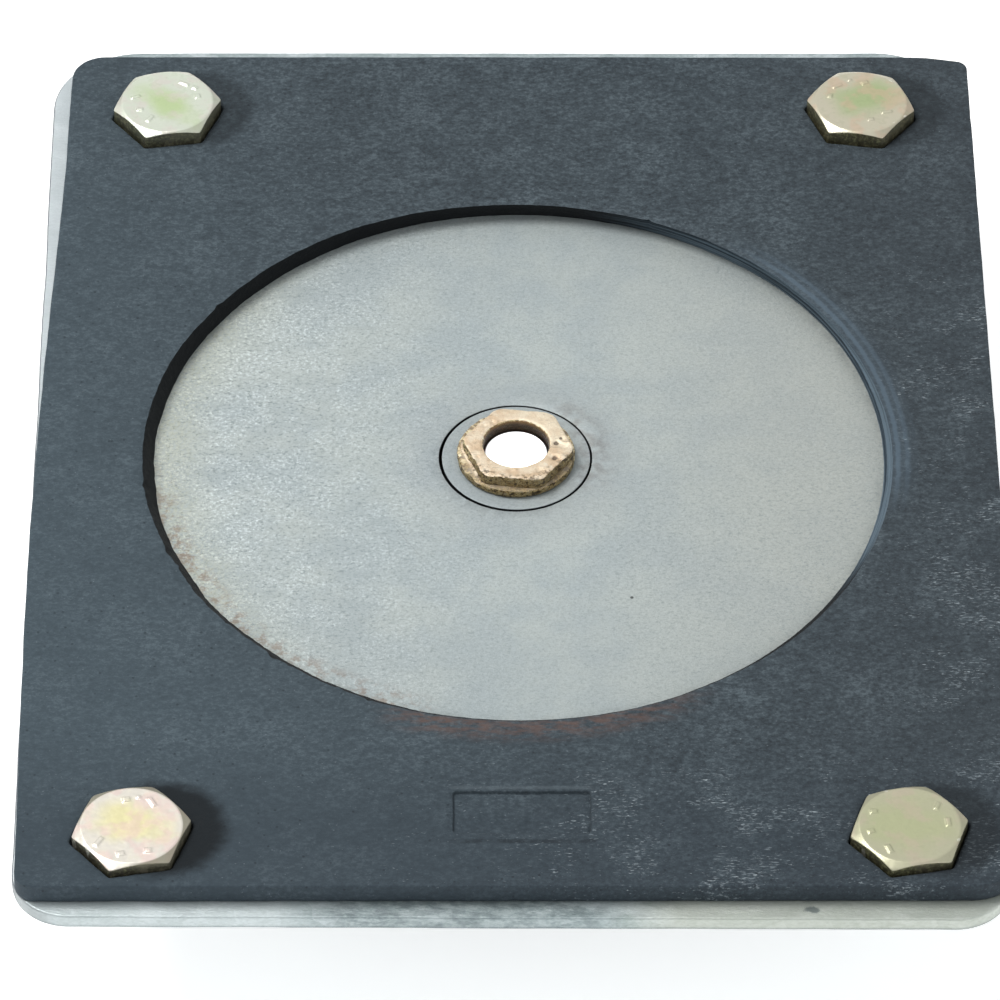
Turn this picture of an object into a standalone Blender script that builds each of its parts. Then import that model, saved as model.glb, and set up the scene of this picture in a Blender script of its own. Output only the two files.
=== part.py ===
"""Switchable permanent lifting magnet, modelled piece by piece.

Frame: the origin is where the rotor's axis meets the working face, +Z up through
the nut, X across the short side of the flange, Y along its long side (the maker's
panel is on the -Y side, the front). Dimensions are in mm, meshes in metres.

Working: alternating north and south magnets lie fixed over six pole shoes. A second
ring of magnets hangs under a steel yoke on the hollow shaft. Turned one pole pitch
with a spanner on the brass nut, the rotor's poles go from opposing the fixed ones
(flux closed inside, off) to matching them (flux out through the shoes, on).
"""
import math

import bmesh
import bpy
from mathutils import Vector
from mathutils.geometry import tessellate_polygon

MM = 0.001

# ---- driving dimensions, mm and degrees ----

GAP = 0.3                       # clearance between pieces that touch
POLES = 6                       # pole shoes, and magnets in each ring
PITCH = 360.0 / POLES           # rotor travel between off and on
SMOOTH_ANGLE = 32               # edges sharper than this are shaded sharp
CHAMFER_SLOPE = math.tan(math.radians(25))   # on the nut and the bolt heads

FLANGE_Z0, FLANGE_Z1 = 35.0, 38.0
UNDER_FLANGE_Z = FLANGE_Z0 - GAP
OVER_FLANGE_Z = FLANGE_Z1 + GAP

# where: (x, y, turn of the hexagon, height of the head)
BOLTS = {
    "rear_left": (-68.5, 94.4, 8.6, 7.0),
    "rear_right": (68.8, 94.4, 51.5, 7.0),
    "front_left": (-68.5, -100.0, 10.9, 6.0),
    "front_right": (68.8, -100.0, 11.0, 6.0),
}
BOLT_FLATS = 18.7               # across flats
BOLT_R = 6.0

LID_R, LID_BORE_R = 80.0, 14.4
STOP_PIN_AT, STOP_PIN_R = (0.0, 54.0), 2.0
POT_BORE_R = 68.0

FIXED_Z1 = 18.0                 # top of the fixed magnets
ROTOR_Z0, ROTOR_Z1 = 18.6, 25.9   # rotor magnets
YOKE_Z0, YOKE_Z1 = ROTOR_Z1 + GAP, 31.9
ROTOR_R = 65.5                  # cage and yoke

SHAFT_BORE_R = 6.4
SHAFT_LOW_R, SHAFT_TOP_R = 9.4, 10.0      # below and above the shoulder
GROOVE_R, GROOVE_Z0, GROOVE_Z1 = 8.5, 2.3, 3.9   # circlip groove
BUSH_R = 12.6

# ---- finishes: base colour, roughness, metallic ----

GALVANISED = ((0.52, 0.56, 0.55), 0.45, 0.85)
LID_STEEL = ((0.42, 0.46, 0.46), 0.5, 0.75)
RUBBER = ((0.07, 0.095, 0.115), 0.75, 0.0)
YELLOW_ZINC = ((0.60, 0.62, 0.34), 0.3, 0.9)
BRASS = ((0.72, 0.60, 0.38), 0.32, 1.0)
BRONZE = ((0.45, 0.31, 0.16), 0.4, 1.0)
STEEL = ((0.38, 0.39, 0.41), 0.35, 1.0)
GROUND_STEEL = ((0.52, 0.54, 0.57), 0.25, 1.0)
POT_PAINT = ((0.10, 0.11, 0.12), 0.5, 0.2)
NYLON = ((0.90, 0.90, 0.88), 0.5, 0.0)
SEAL = ((0.02, 0.02, 0.02), 0.7, 0.0)
FELT = ((0.25, 0.22, 0.18), 0.95, 0.0)
ALLOY = ((0.62, 0.63, 0.65), 0.35, 1.0)
MAGNET = {
    "north": ((0.20, 0.21, 0.23), 0.45, 0.8),
    "south": ((0.13, 0.135, 0.15), 0.45, 0.8),
}

for old in list(bpy.data.objects):
    bpy.data.objects.remove(old, do_unlink=True)


# ---- objects ----

def add_object(name, data, parent=None):
    obj = bpy.data.objects.new(name, data)
    bpy.context.scene.collection.objects.link(obj)
    obj.parent = parent
    return obj


def body_axis(name):
    """An empty at the origin, on the rotor's axis, that pieces are parented to."""
    empty = add_object(name, None)
    empty.empty_display_size = 0.02
    return empty


HOUSING = body_axis("housing_axis")
ROTOR = body_axis("rotor_axis")


def material(name, finish):
    colour, roughness, metallic = finish
    mat = bpy.data.materials.new(name)
    mat.use_nodes = True
    shader = mat.node_tree.nodes["Principled BSDF"]
    shader.inputs["Base Color"].default_value = (*colour, 1.0)
    shader.inputs["Roughness"].default_value = roughness
    shader.inputs["Metallic"].default_value = metallic
    return mat


def make(name, points, faces, finish, parent=HOUSING, at=(0.0, 0.0), smooth=True):
    """One closed object from points in mm, its normals outwards, with its origin at at."""
    mesh = bpy.data.meshes.new(name)
    mesh.from_pydata([(x * MM, y * MM, z * MM) for x, y, z in points], [], faces)
    bm = bmesh.new()
    bm.from_mesh(mesh)
    bmesh.ops.remove_doubles(bm, verts=bm.verts, dist=1e-7)
    bmesh.ops.recalc_face_normals(bm, faces=bm.faces)
    if bm.calc_volume(signed=True) < 0:
        bmesh.ops.reverse_faces(bm, faces=bm.faces)
    bm.to_mesh(mesh)
    bm.free()
    mesh.materials.append(material(name, finish))
    if smooth:
        mesh.shade_smooth()
        mesh.set_sharp_from_angle(angle=math.radians(SMOOTH_ANGLE))
    obj = add_object(name, mesh, parent)
    obj.location = (at[0] * MM, at[1] * MM, 0.0)
    return obj


# ---- outlines: anticlockwise lists of (x, y) ----

def circle(radius, count, at=(0.0, 0.0), turn=0.0):
    step = 2 * math.pi / count
    angles = [math.radians(turn) + i * step for i in range(count)]
    return [(at[0] + radius * math.cos(a), at[1] + radius * math.sin(a)) for a in angles]


def hexagon(flats, count, at=(0.0, 0.0), turn=0.0):
    """count points on a hexagon, the corners among them; count is a multiple of 6."""
    loop = []
    for i in range(count):
        phi = 360.0 * i / count
        reach = 0.5 * flats / math.cos(math.radians(phi % 60.0 - 30.0))
        angle = math.radians(turn + phi)
        loop.append((at[0] + reach * math.cos(angle), at[1] + reach * math.sin(angle)))
    return loop


def arc(radius, start, end, steps):
    """Points along an arc about the origin, from start to end in degrees."""
    angles = [math.radians(start + (end - start) * k / steps) for k in range(steps + 1)]
    return [(radius * math.cos(a), radius * math.sin(a)) for a in angles]


def rectangle(x0, x1, y0, y1):
    return [(x0, y0), (x1, y0), (x1, y1), (x0, y1)]


def corner_sides(loop, i):
    """Point i of the outline with the points before and after it."""
    return Vector(loop[i]), Vector(loop[i - 1]), Vector(loop[(i + 1) % len(loop)])


def rounded(corners, radii, steps):
    """A polygon (anticlockwise) with each corner rounded to its own radius."""
    out = []
    for i, radius in enumerate(radii):
        corner, before, after = corner_sides(corners, i)
        to_before, to_after = (before - corner).normalized(), (after - corner).normalized()
        half = to_before.angle(to_after) / 2
        centre = corner + (to_before + to_after).normalized() * (radius / math.sin(half))
        start = corner + to_before * (radius / math.tan(half)) - centre
        sweep = math.pi - 2 * half
        for k in range(steps + 1):
            c, s = math.cos(sweep * k / steps), math.sin(sweep * k / steps)
            out.append((centre.x + start.x * c - start.y * s,
                        centre.y + start.x * s + start.y * c))
    return out


def offset(loop, distance):
    """The outline moved outwards by distance, along the mean normal of its two sides."""
    out = []
    for i in range(len(loop)):
        point, before, after = corner_sides(loop, i)
        side_in, side_out = (point - before).normalized(), (after - point).normalized()
        normal_in = Vector((side_in.y, -side_in.x))
        normal_out = Vector((side_out.y, -side_out.x))
        mean = (normal_in + normal_out).normalized()
        out.append(tuple(point + mean * (distance / max(0.3, mean.dot(normal_in)))))
    return out


# ---- solids ----

def plate(name, levels, finish, **placing):
    """A plate from levels of (z, outline, holes); every level has the same counts."""
    points, rows = [], []
    for z, outer, holes in levels:
        row = []
        for loop in [outer, *holes]:
            row.append(list(range(len(points), len(points) + len(loop))))
            points += at_z(loop, z)
        rows.append(row)
    faces = []
    for lower, upper in zip(rows, rows[1:]):
        for k, (low, high) in enumerate(zip(lower, upper)):
            for i in range(len(low)):
                j = (i + 1) % len(low)
                quad = (low[i], low[j], high[j], high[i])
                faces.append(quad if k == 0 else quad[::-1])
    for row, is_top in ((rows[0], False), (rows[-1], True)):
        flat = [index for loop in row for index in loop]
        for triangle in tessellate_polygon([[Vector(points[i]) for i in loop] for loop in row]):
            corners = [flat[i] for i in triangle]
            a, b, c = (Vector(points[i][:2]) for i in corners)
            area = (b - a).x * (c - a).y - (b - a).y * (c - a).x
            if abs(area) < 1e-9:
                continue
            if (area > 0) != is_top:
                corners.reverse()
            faces.append(tuple(corners))
    return make(name, points, faces, finish, **placing)


def prism(name, z0, z1, outline, finish, holes=(), **placing):
    """A plate with upright sides."""
    return plate(name, [(z0, outline, holes), (z1, outline, holes)], finish, **placing)


def loft(name, loops, finish, closed=False, **placing):
    """Skin over loops of (x, y, z) of equal count; closed joins the last to the first."""
    count = len(loops[0])
    points = [point for loop in loops for point in loop]
    pairs = [(k, k + 1) for k in range(len(loops) - 1)]
    if closed:
        pairs.append((len(loops) - 1, 0))
    faces = []
    for a, b in pairs:
        for i in range(count):
            j = (i + 1) % count
            faces.append((a * count + i, a * count + j, b * count + j, b * count + i))
    if not closed:
        faces.append(tuple(reversed(range(count))))
        faces.append(tuple(range(len(points) - count, len(points))))
    return make(name, points, faces, finish, **placing)


def at_z(loop, z):
    return [(x, y, z) for x, y in loop]


def rings(profile, count, turn=0.0):
    """Level circles, one for each (radius, z) of the profile."""
    return [at_z(circle(radius, count, turn=turn), z) for radius, z in profile]


def turned(name, profile, count, finish, **placing):
    """A ring turned from a closed profile of (radius, z), clear of its axis."""
    return loft(name, rings(profile, count), finish, closed=True, **placing)


def tube(name, r_in, r_out, z0, z1, finish, **placing):
    profile = [(r_in, z0), (r_out, z0), (r_out, z1), (r_in, z1)]
    return turned(name, profile, 32, finish, **placing)


def chamfered(hexa, flat_r, z_top):
    """The hexagon's rim, lower the further it reaches beyond flat_r."""
    return [(x, y, z_top - max(0.0, math.hypot(x, y) - flat_r) * CHAMFER_SLOPE)
            for x, y in hexa]


# ---- cuts ----

def subtract(target, name, bm):
    """Take the bmesh, kept as a hidden cutter, out of the target."""
    mesh = bpy.data.meshes.new(name)
    bmesh.ops.recalc_face_normals(bm, faces=bm.faces)
    bm.to_mesh(mesh)
    bm.free()
    cutter = add_object(name, mesh, target.parent)
    cutter.hide_render = True
    cutter.display_type = "WIRE"
    boolean = target.modifiers.new(name, "BOOLEAN")
    boolean.operation = "DIFFERENCE"
    boolean.solver = "EXACT"
    boolean.object = cutter


def cut_box(target, name, centre, size, z0, z1):
    bm = bmesh.new()
    verts = bmesh.ops.create_cube(bm, size=1.0)["verts"]
    bmesh.ops.scale(bm, vec=(size[0] * MM, size[1] * MM, (z1 - z0) * MM), verts=verts)
    bmesh.ops.translate(bm, vec=Vector((*centre, (z0 + z1) / 2)) * MM, verts=verts)
    subtract(target, name, bm)


def cut_holes(target, name, centres, radius, z0, z1, count):
    bm = bmesh.new()
    for centre in centres:
        verts = bmesh.ops.create_cone(
            bm, cap_ends=True, segments=count,
            radius1=radius * MM, radius2=radius * MM, depth=(z1 - z0) * MM)["verts"]
        bmesh.ops.translate(bm, vec=Vector((*centre, (z0 + z1) / 2)) * MM, verts=verts)
    subtract(target, name, bm)


# ---- flange plate, with a window for the lid and four bolt holes ----

FLANGE_CORNERS = [(-91.7, 117.8), (-89.6, -116.2), (86.9, -117.1), (87.2, 117.9)]
FLANGE_RADII = [17.0, 10.5, 10.5, 14.0]   # in the order of the corners above
FLANGE_EDGE = 0.7               # bevelled top and bottom edges
BOLT_HOLE_R = BOLT_R + 0.7

flange_outline = rounded(FLANGE_CORNERS, FLANGE_RADII, 6)
flange_inset = offset(flange_outline, -FLANGE_EDGE)
flange_holes = [circle(LID_R + GAP, 64)]
flange_holes += [circle(BOLT_HOLE_R, 16, (x, y)) for x, y, _, _ in BOLTS.values()]
plate("flange_plate", [
    (FLANGE_Z0, flange_inset, flange_holes),
    (FLANGE_Z0 + FLANGE_EDGE, flange_outline, flange_holes),
    (FLANGE_Z1 - FLANGE_EDGE, flange_outline, flange_holes),
    (FLANGE_Z1, flange_inset, flange_holes),
], GALVANISED)

# ---- rubber pad on the flange ----

PAD_CORNERS = [(-87.9, 111.7), (-88.9, -112.9), (89.8, -112.8), (90.9, 110.1), (82.0, 111.7)]
PAD_RADII = [6.5, 3.5, 10.5, 2.4, 8.0]    # in the order of the corners above
PAD_Z1 = OVER_FLANGE_Z + 4.0
PAD_EDGE = 0.6                  # bevel of the upper edge
PAD_LEFT_X = -80.0              # points left of this belong to the left side
PAD_LEFT_PARTS = 9              # pieces the long left side is divided into
BULGE = 1.7                     # how far the left side spreads outwards
BULGE_Y0, BULGE_LENGTH = -112.0, 190.0    # front end of the spread, and its length
BULGE_POWER = 1.2
WINDOW_TOP_R, WINDOW_TOP_AT = 70.3, (-0.4, -2.5)
WINDOW_LOW_R, WINDOW_LOW_AT = 68.6, (0.5, 0.0)
WINDOW_MID = 0.8                # how far the bevel level is from the low to the top rim
POCKET_PLAY = 0.8               # extra width across flats around the bolt heads
PANEL_AT, PANEL_SIZE, PANEL_DEPTH = (0.5, -95.0), (24.9, 10.4), 0.7


def bulged(x, y):
    """Spread a point of the pad's left side outwards, most a little in front of y = 0."""
    along = (y - BULGE_Y0) / BULGE_LENGTH
    if x < PAD_LEFT_X and 0.0 < along < 1.0:
        x -= BULGE * math.sin(math.pi * along) ** BULGE_POWER
    return x, y


def pad_outline():
    loop = rounded(PAD_CORNERS, PAD_RADII, 5)
    out = []
    for (x0, y0), (x1, y1) in zip(loop, loop[1:] + loop[:1]):
        out.append((x0, y0))
        if x0 < PAD_LEFT_X and x1 < PAD_LEFT_X and abs(y1 - y0) > 50:
            out += [(x0 + (x1 - x0) * k / PAD_LEFT_PARTS, y0 + (y1 - y0) * k / PAD_LEFT_PARTS)
                    for k in range(1, PAD_LEFT_PARTS)]
    return [bulged(x, y) for x, y in out]


pad_loop = pad_outline()
pockets = [hexagon(BOLT_FLATS + POCKET_PLAY, 6, (x, y), turn) for x, y, turn, _ in BOLTS.values()]
window_low = circle(WINDOW_LOW_R, 64, WINDOW_LOW_AT)
window_top = circle(WINDOW_TOP_R, 64, WINDOW_TOP_AT)
window_mid = [tuple(Vector(low).lerp(Vector(top), WINDOW_MID))
              for low, top in zip(window_low, window_top)]
rubber_pad = plate("rubber_pad", [
    (OVER_FLANGE_Z, pad_loop, [window_low] + pockets),
    (PAD_Z1 - PAD_EDGE, pad_loop, [window_mid] + pockets),
    (PAD_Z1, offset(pad_loop, -PAD_EDGE), [window_top] + pockets),
], RUBBER)
cut_box(rubber_pad, "panel_cutter", PANEL_AT, PANEL_SIZE, PAD_Z1 - PANEL_DEPTH, PAD_Z1 + 2.0)

# ---- round lid, flush with the flange, and its countersunk screws ----

SCREWS, SCREW_PITCH_R, FIRST_SCREW = 6, 74.8, 30
SCREW_R, SCREW_HOLE_R = 2.0, 2.35
COUNTERSINK_R, COUNTERSINK_Z = 4.35, 36.0   # mouth radius, and where it starts
SCREW_HEAD_R, SCREW_TOP_Z = 3.75, 37.9
SOCKET_FLATS, SOCKET_Z = 2.5, 36.2

[screw_centres] = [circle(SCREW_PITCH_R, SCREWS, turn=FIRST_SCREW)]
top_lid = plate("top_lid", [
    (z, circle(LID_R, 64),
     [circle(LID_BORE_R, 48)] + [circle(hole_r, 12, centre) for centre in screw_centres])
    for z, hole_r in ((FLANGE_Z0, SCREW_HOLE_R), (COUNTERSINK_Z, SCREW_HOLE_R),
                      (FLANGE_Z1, COUNTERSINK_R))
], LID_STEEL)
cut_holes(top_lid, "stop_pin_cutter", [STOP_PIN_AT], STOP_PIN_R + GAP, FLANGE_Z0 - 2.0, 37.0, 16)

screw_profile = [
    (1.6, 28.6), (SCREW_R, 29.0), (SCREW_R, COUNTERSINK_Z),
    (SCREW_HEAD_R, 37.75), (SCREW_HEAD_R, SCREW_TOP_Z),
]
socket = hexagon(SOCKET_FLATS, 12)
for number, centre in enumerate(screw_centres, 1):
    loft(f"lid_screw_{number}",
         rings(screw_profile, 12) + [at_z(socket, SCREW_TOP_Z), at_z(socket, SOCKET_Z)],
         YELLOW_ZINC, at=centre)

# ---- pot housing under the flange, its seals and weld ----

POT_R = 74.0
POT_LIP_R, POT_LIP_Z = 84.0, 31.0
POT_NECK_R = 79.5               # under the lip
SEAL_R0, SEAL_R1, SEAL_Z = 69.2, 71.8, 33.2   # O-ring groove: sides and floor
O_RING_R, O_RING_Z = 0.6, 34.1  # section radius and height of its centre

pot = turned("pot_housing", [
    (POT_BORE_R, 0.3), (POT_BORE_R + 0.3, 0.0), (POT_R - 1.0, 0.0), (POT_R, 1.0),
    (POT_R, 20.0), (POT_NECK_R, 26.0), (POT_NECK_R, POT_LIP_Z), (POT_LIP_R, POT_LIP_Z),
    (POT_LIP_R, UNDER_FLANGE_Z), (SEAL_R1, UNDER_FLANGE_Z), (SEAL_R1, SEAL_Z),
    (SEAL_R0, SEAL_Z), (SEAL_R0, UNDER_FLANGE_Z), (POT_BORE_R, UNDER_FLANGE_Z),
], 56, POT_PAINT)
cut_holes(pot, "pot_drill", screw_centres, SCREW_HOLE_R, 27.5, 36.0, 12)

turned("lid_o_ring",
       [((SEAL_R0 + SEAL_R1) / 2 + r, O_RING_Z + z) for r, z in circle(O_RING_R, 6)], 36, SEAL)
tube("dust_seal", 14.7, 19.5, 32.4, UNDER_FLANGE_Z, FELT)

bead_r = POT_LIP_R + GAP
turned("weld_bead", [(bead_r, 31.8), (bead_r, UNDER_FLANGE_Z), (86.3, UNDER_FLANGE_Z)], 48, STEEL)

# ---- pole shoes, both rings of magnets, and the plates that part them ----

SHOE_Z1 = 10.0                  # top of the pole shoes
SHOE_EDGE = 0.4
SECTOR_IN_R, SECTOR_OUT_R = 20.3, 62.0
WEB = 5.0                       # between neighbouring poles
CAGE_BORE_R = 14.6


def sector(mid, inset, r_in, r_out):
    """A pole sector: its straight sides lie inset from the radial lines half a pitch away."""
    spread_in, spread_out = (PITCH / 2 - math.degrees(math.asin(inset / r)) for r in (r_in, r_out))
    return (arc(r_out, mid - spread_out, mid + spread_out, 8)
            + arc(r_in, mid + spread_in, mid - spread_in, 3))


pole_angles = [i * PITCH for i in range(POLES)]
windows = [sector(mid, WEB / 2, SECTOR_IN_R - GAP, SECTOR_OUT_R + GAP) for mid in pole_angles]
prism("pole_spacer", 0.0, FIXED_Z1, circle(POT_BORE_R - GAP, 56), BRASS,
      holes=[circle(BUSH_R + GAP, 24)] + windows)
prism("rotor_cage", ROTOR_Z0, ROTOR_Z1, circle(ROTOR_R, 48), ALLOY,
      holes=[circle(CAGE_BORE_R, 24)] + windows, parent=ROTOR)

for i, mid in enumerate(pole_angles):
    pole, opposite = ("north", "south") if i % 2 == 0 else ("south", "north")
    number = i // 2 + 1
    loop = sector(mid, WEB / 2 + GAP, SECTOR_IN_R, SECTOR_OUT_R)
    plate(f"pole_shoe_{pole}_{number}",
          [(0.0, offset(loop, -SHOE_EDGE), []), (SHOE_EDGE, loop, []), (SHOE_Z1, loop, [])],
          GROUND_STEEL)
    prism(f"fixed_magnet_{pole}_{number}", SHOE_Z1 + GAP, FIXED_Z1, loop, MAGNET[pole])
    prism(f"rotor_magnet_{opposite}_{number}", ROTOR_Z0, ROTOR_Z1, loop, MAGNET[opposite],
          parent=ROTOR)

# ---- yoke over the rotor magnets, and the pin that stops it ----

KEY_WIDTH = 4.0
KEYWAY_WIDTH = KEY_WIDTH + 2 * GAP
SLOT_SIDE_PLAY, SLOT_END_PLAY = 0.6, 0.7


def stop_slot():
    """The arc the stop pin runs in: one pitch long, with room for the pin at each end."""
    pin_angle, path_r = 90.0, STOP_PIN_AT[1]
    over = math.degrees((STOP_PIN_R + SLOT_END_PLAY) / path_r)
    start, end = pin_angle - PITCH - over, pin_angle + over
    half_width = STOP_PIN_R + SLOT_SIDE_PLAY
    return arc(path_r + half_width, start, end, 10) + arc(path_r - half_width, end, start, 10)


yoke = prism("rotor_yoke", YOKE_Z0, YOKE_Z1, circle(ROTOR_R, 48), STEEL,
             holes=[circle(SHAFT_TOP_R + GAP, 24), stop_slot()], parent=ROTOR)
cut_box(yoke, "yoke_keyway_cutter", (11.2, 0.0), (3.2, KEYWAY_WIDTH), 20.0, 40.0)

loft("stop_pin", rings([(1.6, 27.2), (STOP_PIN_R, 27.7), (STOP_PIN_R, 36.6)], 16),
     GROUND_STEEL, at=STOP_PIN_AT)

# ---- hollow shaft, its key, bearings, circlip and hub ring ----

SHOULDER_R, SHOULDER_Z = 14.2, 20.2
SHAFT_TOP_Z = 37.9
COUNTERBORE_R, COUNTERBORE_Z = 8.4, 33.2
HUB_RING_R = 13.95

shaft = turned("hollow_shaft", [
    (SHAFT_BORE_R, 1.2), (9.0, 1.2), (SHAFT_LOW_R, 1.6),
    (SHAFT_LOW_R, GROOVE_Z0), (GROOVE_R, GROOVE_Z0),
    (GROOVE_R, GROOVE_Z1), (SHAFT_LOW_R, GROOVE_Z1),
    (SHAFT_LOW_R, SHOULDER_Z), (SHOULDER_R, SHOULDER_Z),
    (SHOULDER_R, ROTOR_Z1), (SHAFT_TOP_R, ROTOR_Z1),
    (SHAFT_TOP_R, SHAFT_TOP_Z), (COUNTERBORE_R, SHAFT_TOP_Z),
    (COUNTERBORE_R, COUNTERBORE_Z), (SHAFT_BORE_R, COUNTERBORE_Z),
], 32, GROUND_STEEL, parent=ROTOR)
cut_box(shaft, "shaft_keyway_cutter", (10.0, 0.0), (3.4, KEYWAY_WIDTH), 26.3, 32.3)
prism("drive_key", 26.6, YOKE_Z1, rectangle(8.6, 12.4, -KEY_WIDTH / 2, KEY_WIDTH / 2),
      STEEL, parent=ROTOR, smooth=False)

tube("lower_bush", SHAFT_LOW_R + GAP, BUSH_R, 4.5, FIXED_Z1 - GAP, BRONZE)
tube("thrust_washer", 9.9, 14.1, FIXED_Z1 + GAP, SHOULDER_Z - GAP, BRONZE)


def circlip():
    """An open retaining ring with a lug on each side of its gap."""
    start, end, steps = 100.0, 440.0, 26
    body, lugs = arc(11.2, start, end, steps), arc(12.3, start, end, steps)
    return lugs[:2] + body[2:-2] + lugs[-2:] + arc(GROOVE_R + GAP, end, start, steps)


prism("shaft_circlip", GROOVE_Z0 + GAP, GROOVE_Z1 - GAP, circlip(), STEEL, parent=ROTOR)

turned("hub_ring", [
    (10.4, 33.0), (HUB_RING_R, 33.0), (HUB_RING_R, FLANGE_Z1 - 0.2),
    (HUB_RING_R - 0.2, FLANGE_Z1), (10.4, FLANGE_Z1),
], 48, LID_STEEL, parent=ROTOR)

# ---- brass nut on top, and the liner of the through passage ----

NUT_FLATS, NUT_TURN, NUT_POINTS = 18.9, 52.2, 36
NUT_BORE_R, NUT_Z1 = 6.2, 41.9
SPIGOT_R, SPIGOT_Z = 8.0, 33.6  # the part down in the shaft's counterbore
COLLAR_R, COLLAR_Z1 = 11.1, 39.6

nut_hexagon = hexagon(NUT_FLATS, NUT_POINTS, turn=NUT_TURN)
nut_base = [
    (NUT_BORE_R, SPIGOT_Z), (SPIGOT_R, SPIGOT_Z), (SPIGOT_R, OVER_FLANGE_Z),
    (COLLAR_R - 0.3, OVER_FLANGE_Z), (COLLAR_R, OVER_FLANGE_Z + 0.3), (COLLAR_R, COLLAR_Z1),
]
nut_top = [(NUT_FLATS / 2 - 0.2, NUT_Z1), (NUT_BORE_R + 0.4, NUT_Z1), (NUT_BORE_R, NUT_Z1 - 0.4)]
loft("brass_nut", [
    *rings(nut_base, NUT_POINTS, NUT_TURN),
    at_z(nut_hexagon, COLLAR_Z1 + 0.05),
    chamfered(nut_hexagon, NUT_FLATS / 2, NUT_Z1),
    *rings(nut_top, NUT_POINTS, NUT_TURN),
], BRASS, closed=True, parent=ROTOR)
tube("bore_liner", 5.3, 5.9, 0.9, 39.3, NYLON, parent=ROTOR)

# ---- M12 bolts and the push-on washers that keep them in the flange ----

BOLT_Z0 = OVER_FLANGE_Z - 14.0  # tip, one shank length under the head
BOLT_POINTS = 24
BOLT_FACE_R = 0.5 * BOLT_FLATS * 0.97     # flat top of the head
KEEPER_R, KEEPER_BORE_R = 8.6, 6.4
KEEPER_Z0 = UNDER_FLANGE_Z - 1.2

shank = [(5.1, BOLT_Z0), (BOLT_R, BOLT_Z0 + 0.9), (BOLT_R, OVER_FLANGE_Z)]
keeper = [
    (KEEPER_BORE_R, KEEPER_Z0), (KEEPER_R - 0.4, KEEPER_Z0), (KEEPER_R, KEEPER_Z0 + 0.5),
    (KEEPER_R, UNDER_FLANGE_Z), (KEEPER_BORE_R, UNDER_FLANGE_Z),
]
for where, (x, y, turn, head) in BOLTS.items():
    head_hexagon = hexagon(BOLT_FLATS, BOLT_POINTS, turn=turn)
    head_z = OVER_FLANGE_Z + head
    loft("bolt_" + where, [
        *rings(shank, BOLT_POINTS, turn),
        at_z(head_hexagon, OVER_FLANGE_Z),
        chamfered(head_hexagon, BOLT_FACE_R, head_z),
        *rings([(BOLT_FACE_R, head_z)], BOLT_POINTS, turn),
    ], YELLOW_ZINC, at=(x, y))
    turned("bolt_keeper_" + where, keeper, 20, STEEL, at=(x, y))
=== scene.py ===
"""A round lifting magnet whose pot hangs under a flange plate with a rubber pad and four bolts.

The magnet's axis is Z, its poles lie at Z = 0 and the pad is on top. The front is -Y, the
left is -X. Pieces are modelled in mm; angles are in degrees, anticlockwise from +X.
"""
import math

import bmesh
import bpy
import numpy as np
from mathutils import Matrix, Vector, noise
from mathutils.geometry import delaunay_2d_cdt


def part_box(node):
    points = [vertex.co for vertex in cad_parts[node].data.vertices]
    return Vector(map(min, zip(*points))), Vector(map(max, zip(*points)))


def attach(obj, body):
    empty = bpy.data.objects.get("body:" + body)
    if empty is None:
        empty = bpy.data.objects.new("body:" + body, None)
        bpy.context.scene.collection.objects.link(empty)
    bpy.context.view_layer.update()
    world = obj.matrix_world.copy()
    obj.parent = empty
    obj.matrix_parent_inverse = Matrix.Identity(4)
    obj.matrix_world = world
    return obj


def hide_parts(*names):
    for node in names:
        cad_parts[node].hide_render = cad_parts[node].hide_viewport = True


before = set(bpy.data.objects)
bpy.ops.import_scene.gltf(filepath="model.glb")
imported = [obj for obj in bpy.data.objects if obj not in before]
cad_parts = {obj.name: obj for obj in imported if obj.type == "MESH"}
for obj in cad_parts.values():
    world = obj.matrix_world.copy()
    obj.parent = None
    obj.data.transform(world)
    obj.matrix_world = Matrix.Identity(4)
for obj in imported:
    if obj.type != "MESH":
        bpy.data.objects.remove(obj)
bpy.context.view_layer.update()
MM = 0.001


# ---------------------------------------------------------------- numbers and outlines

def box_mm(node):
    low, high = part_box(node)
    return np.array(low) * 1000.0, np.array(high) * 1000.0


def noise3(x, y, z):
    return noise.noise(Vector((x, y, z)))


def ripple(x, y, octaves, base=0.0):
    """Adds up noise from (height, frequency, layer) octaves."""
    return sum((height * noise3(x * frequency, y * frequency, layer)
                for height, frequency, layer in octaves), base)


def ripples(loop, octaves):
    return np.array([[ripple(x, y, octaves)] for x, y in loop])


def angle_bump(degrees, centre, width):
    apart = (degrees - centre + 180.0) % 360.0 - 180.0
    return math.exp(-(apart / width) ** 2)


def swells(degrees, bumps, base=0.0):
    """Adds up bumps round a circle, each (height, bearing, width)."""
    return sum((height * angle_bump(degrees, centre, width)
                for height, centre, width in bumps), base)


def ease(t):
    return t * t * (3 - 2 * t)


def polar(radius, degrees, centre=(0.0, 0.0)):
    angle = math.radians(degrees)
    return centre[0] + radius * math.cos(angle), centre[1] + radius * math.sin(angle)


def arc(x, y, radius, start, end, steps):
    return [polar(radius, start + (end - start) * k / steps, (x, y)) for k in range(steps + 1)]


def circle(radius, count, centre=(0.0, 0.0)):
    angles = np.arange(count) * 2 * math.pi / count
    return np.c_[centre[0] + radius * np.cos(angles), centre[1] + radius * np.sin(angles)]


def normals2(loop):
    """Outward normals of an anticlockwise outline, stretched at corners."""
    before = loop - np.roll(loop, 1, 0)
    after = np.roll(loop, -1, 0) - loop
    before /= np.linalg.norm(before, axis=1)[:, None]
    after /= np.linalg.norm(after, axis=1)[:, None]
    side = np.c_[before[:, 1], -before[:, 0]]
    middle = side + np.c_[after[:, 1], -after[:, 0]]
    middle /= np.linalg.norm(middle, axis=1)[:, None]
    return middle / np.maximum((middle * side).sum(1), 0.4)[:, None]


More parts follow.
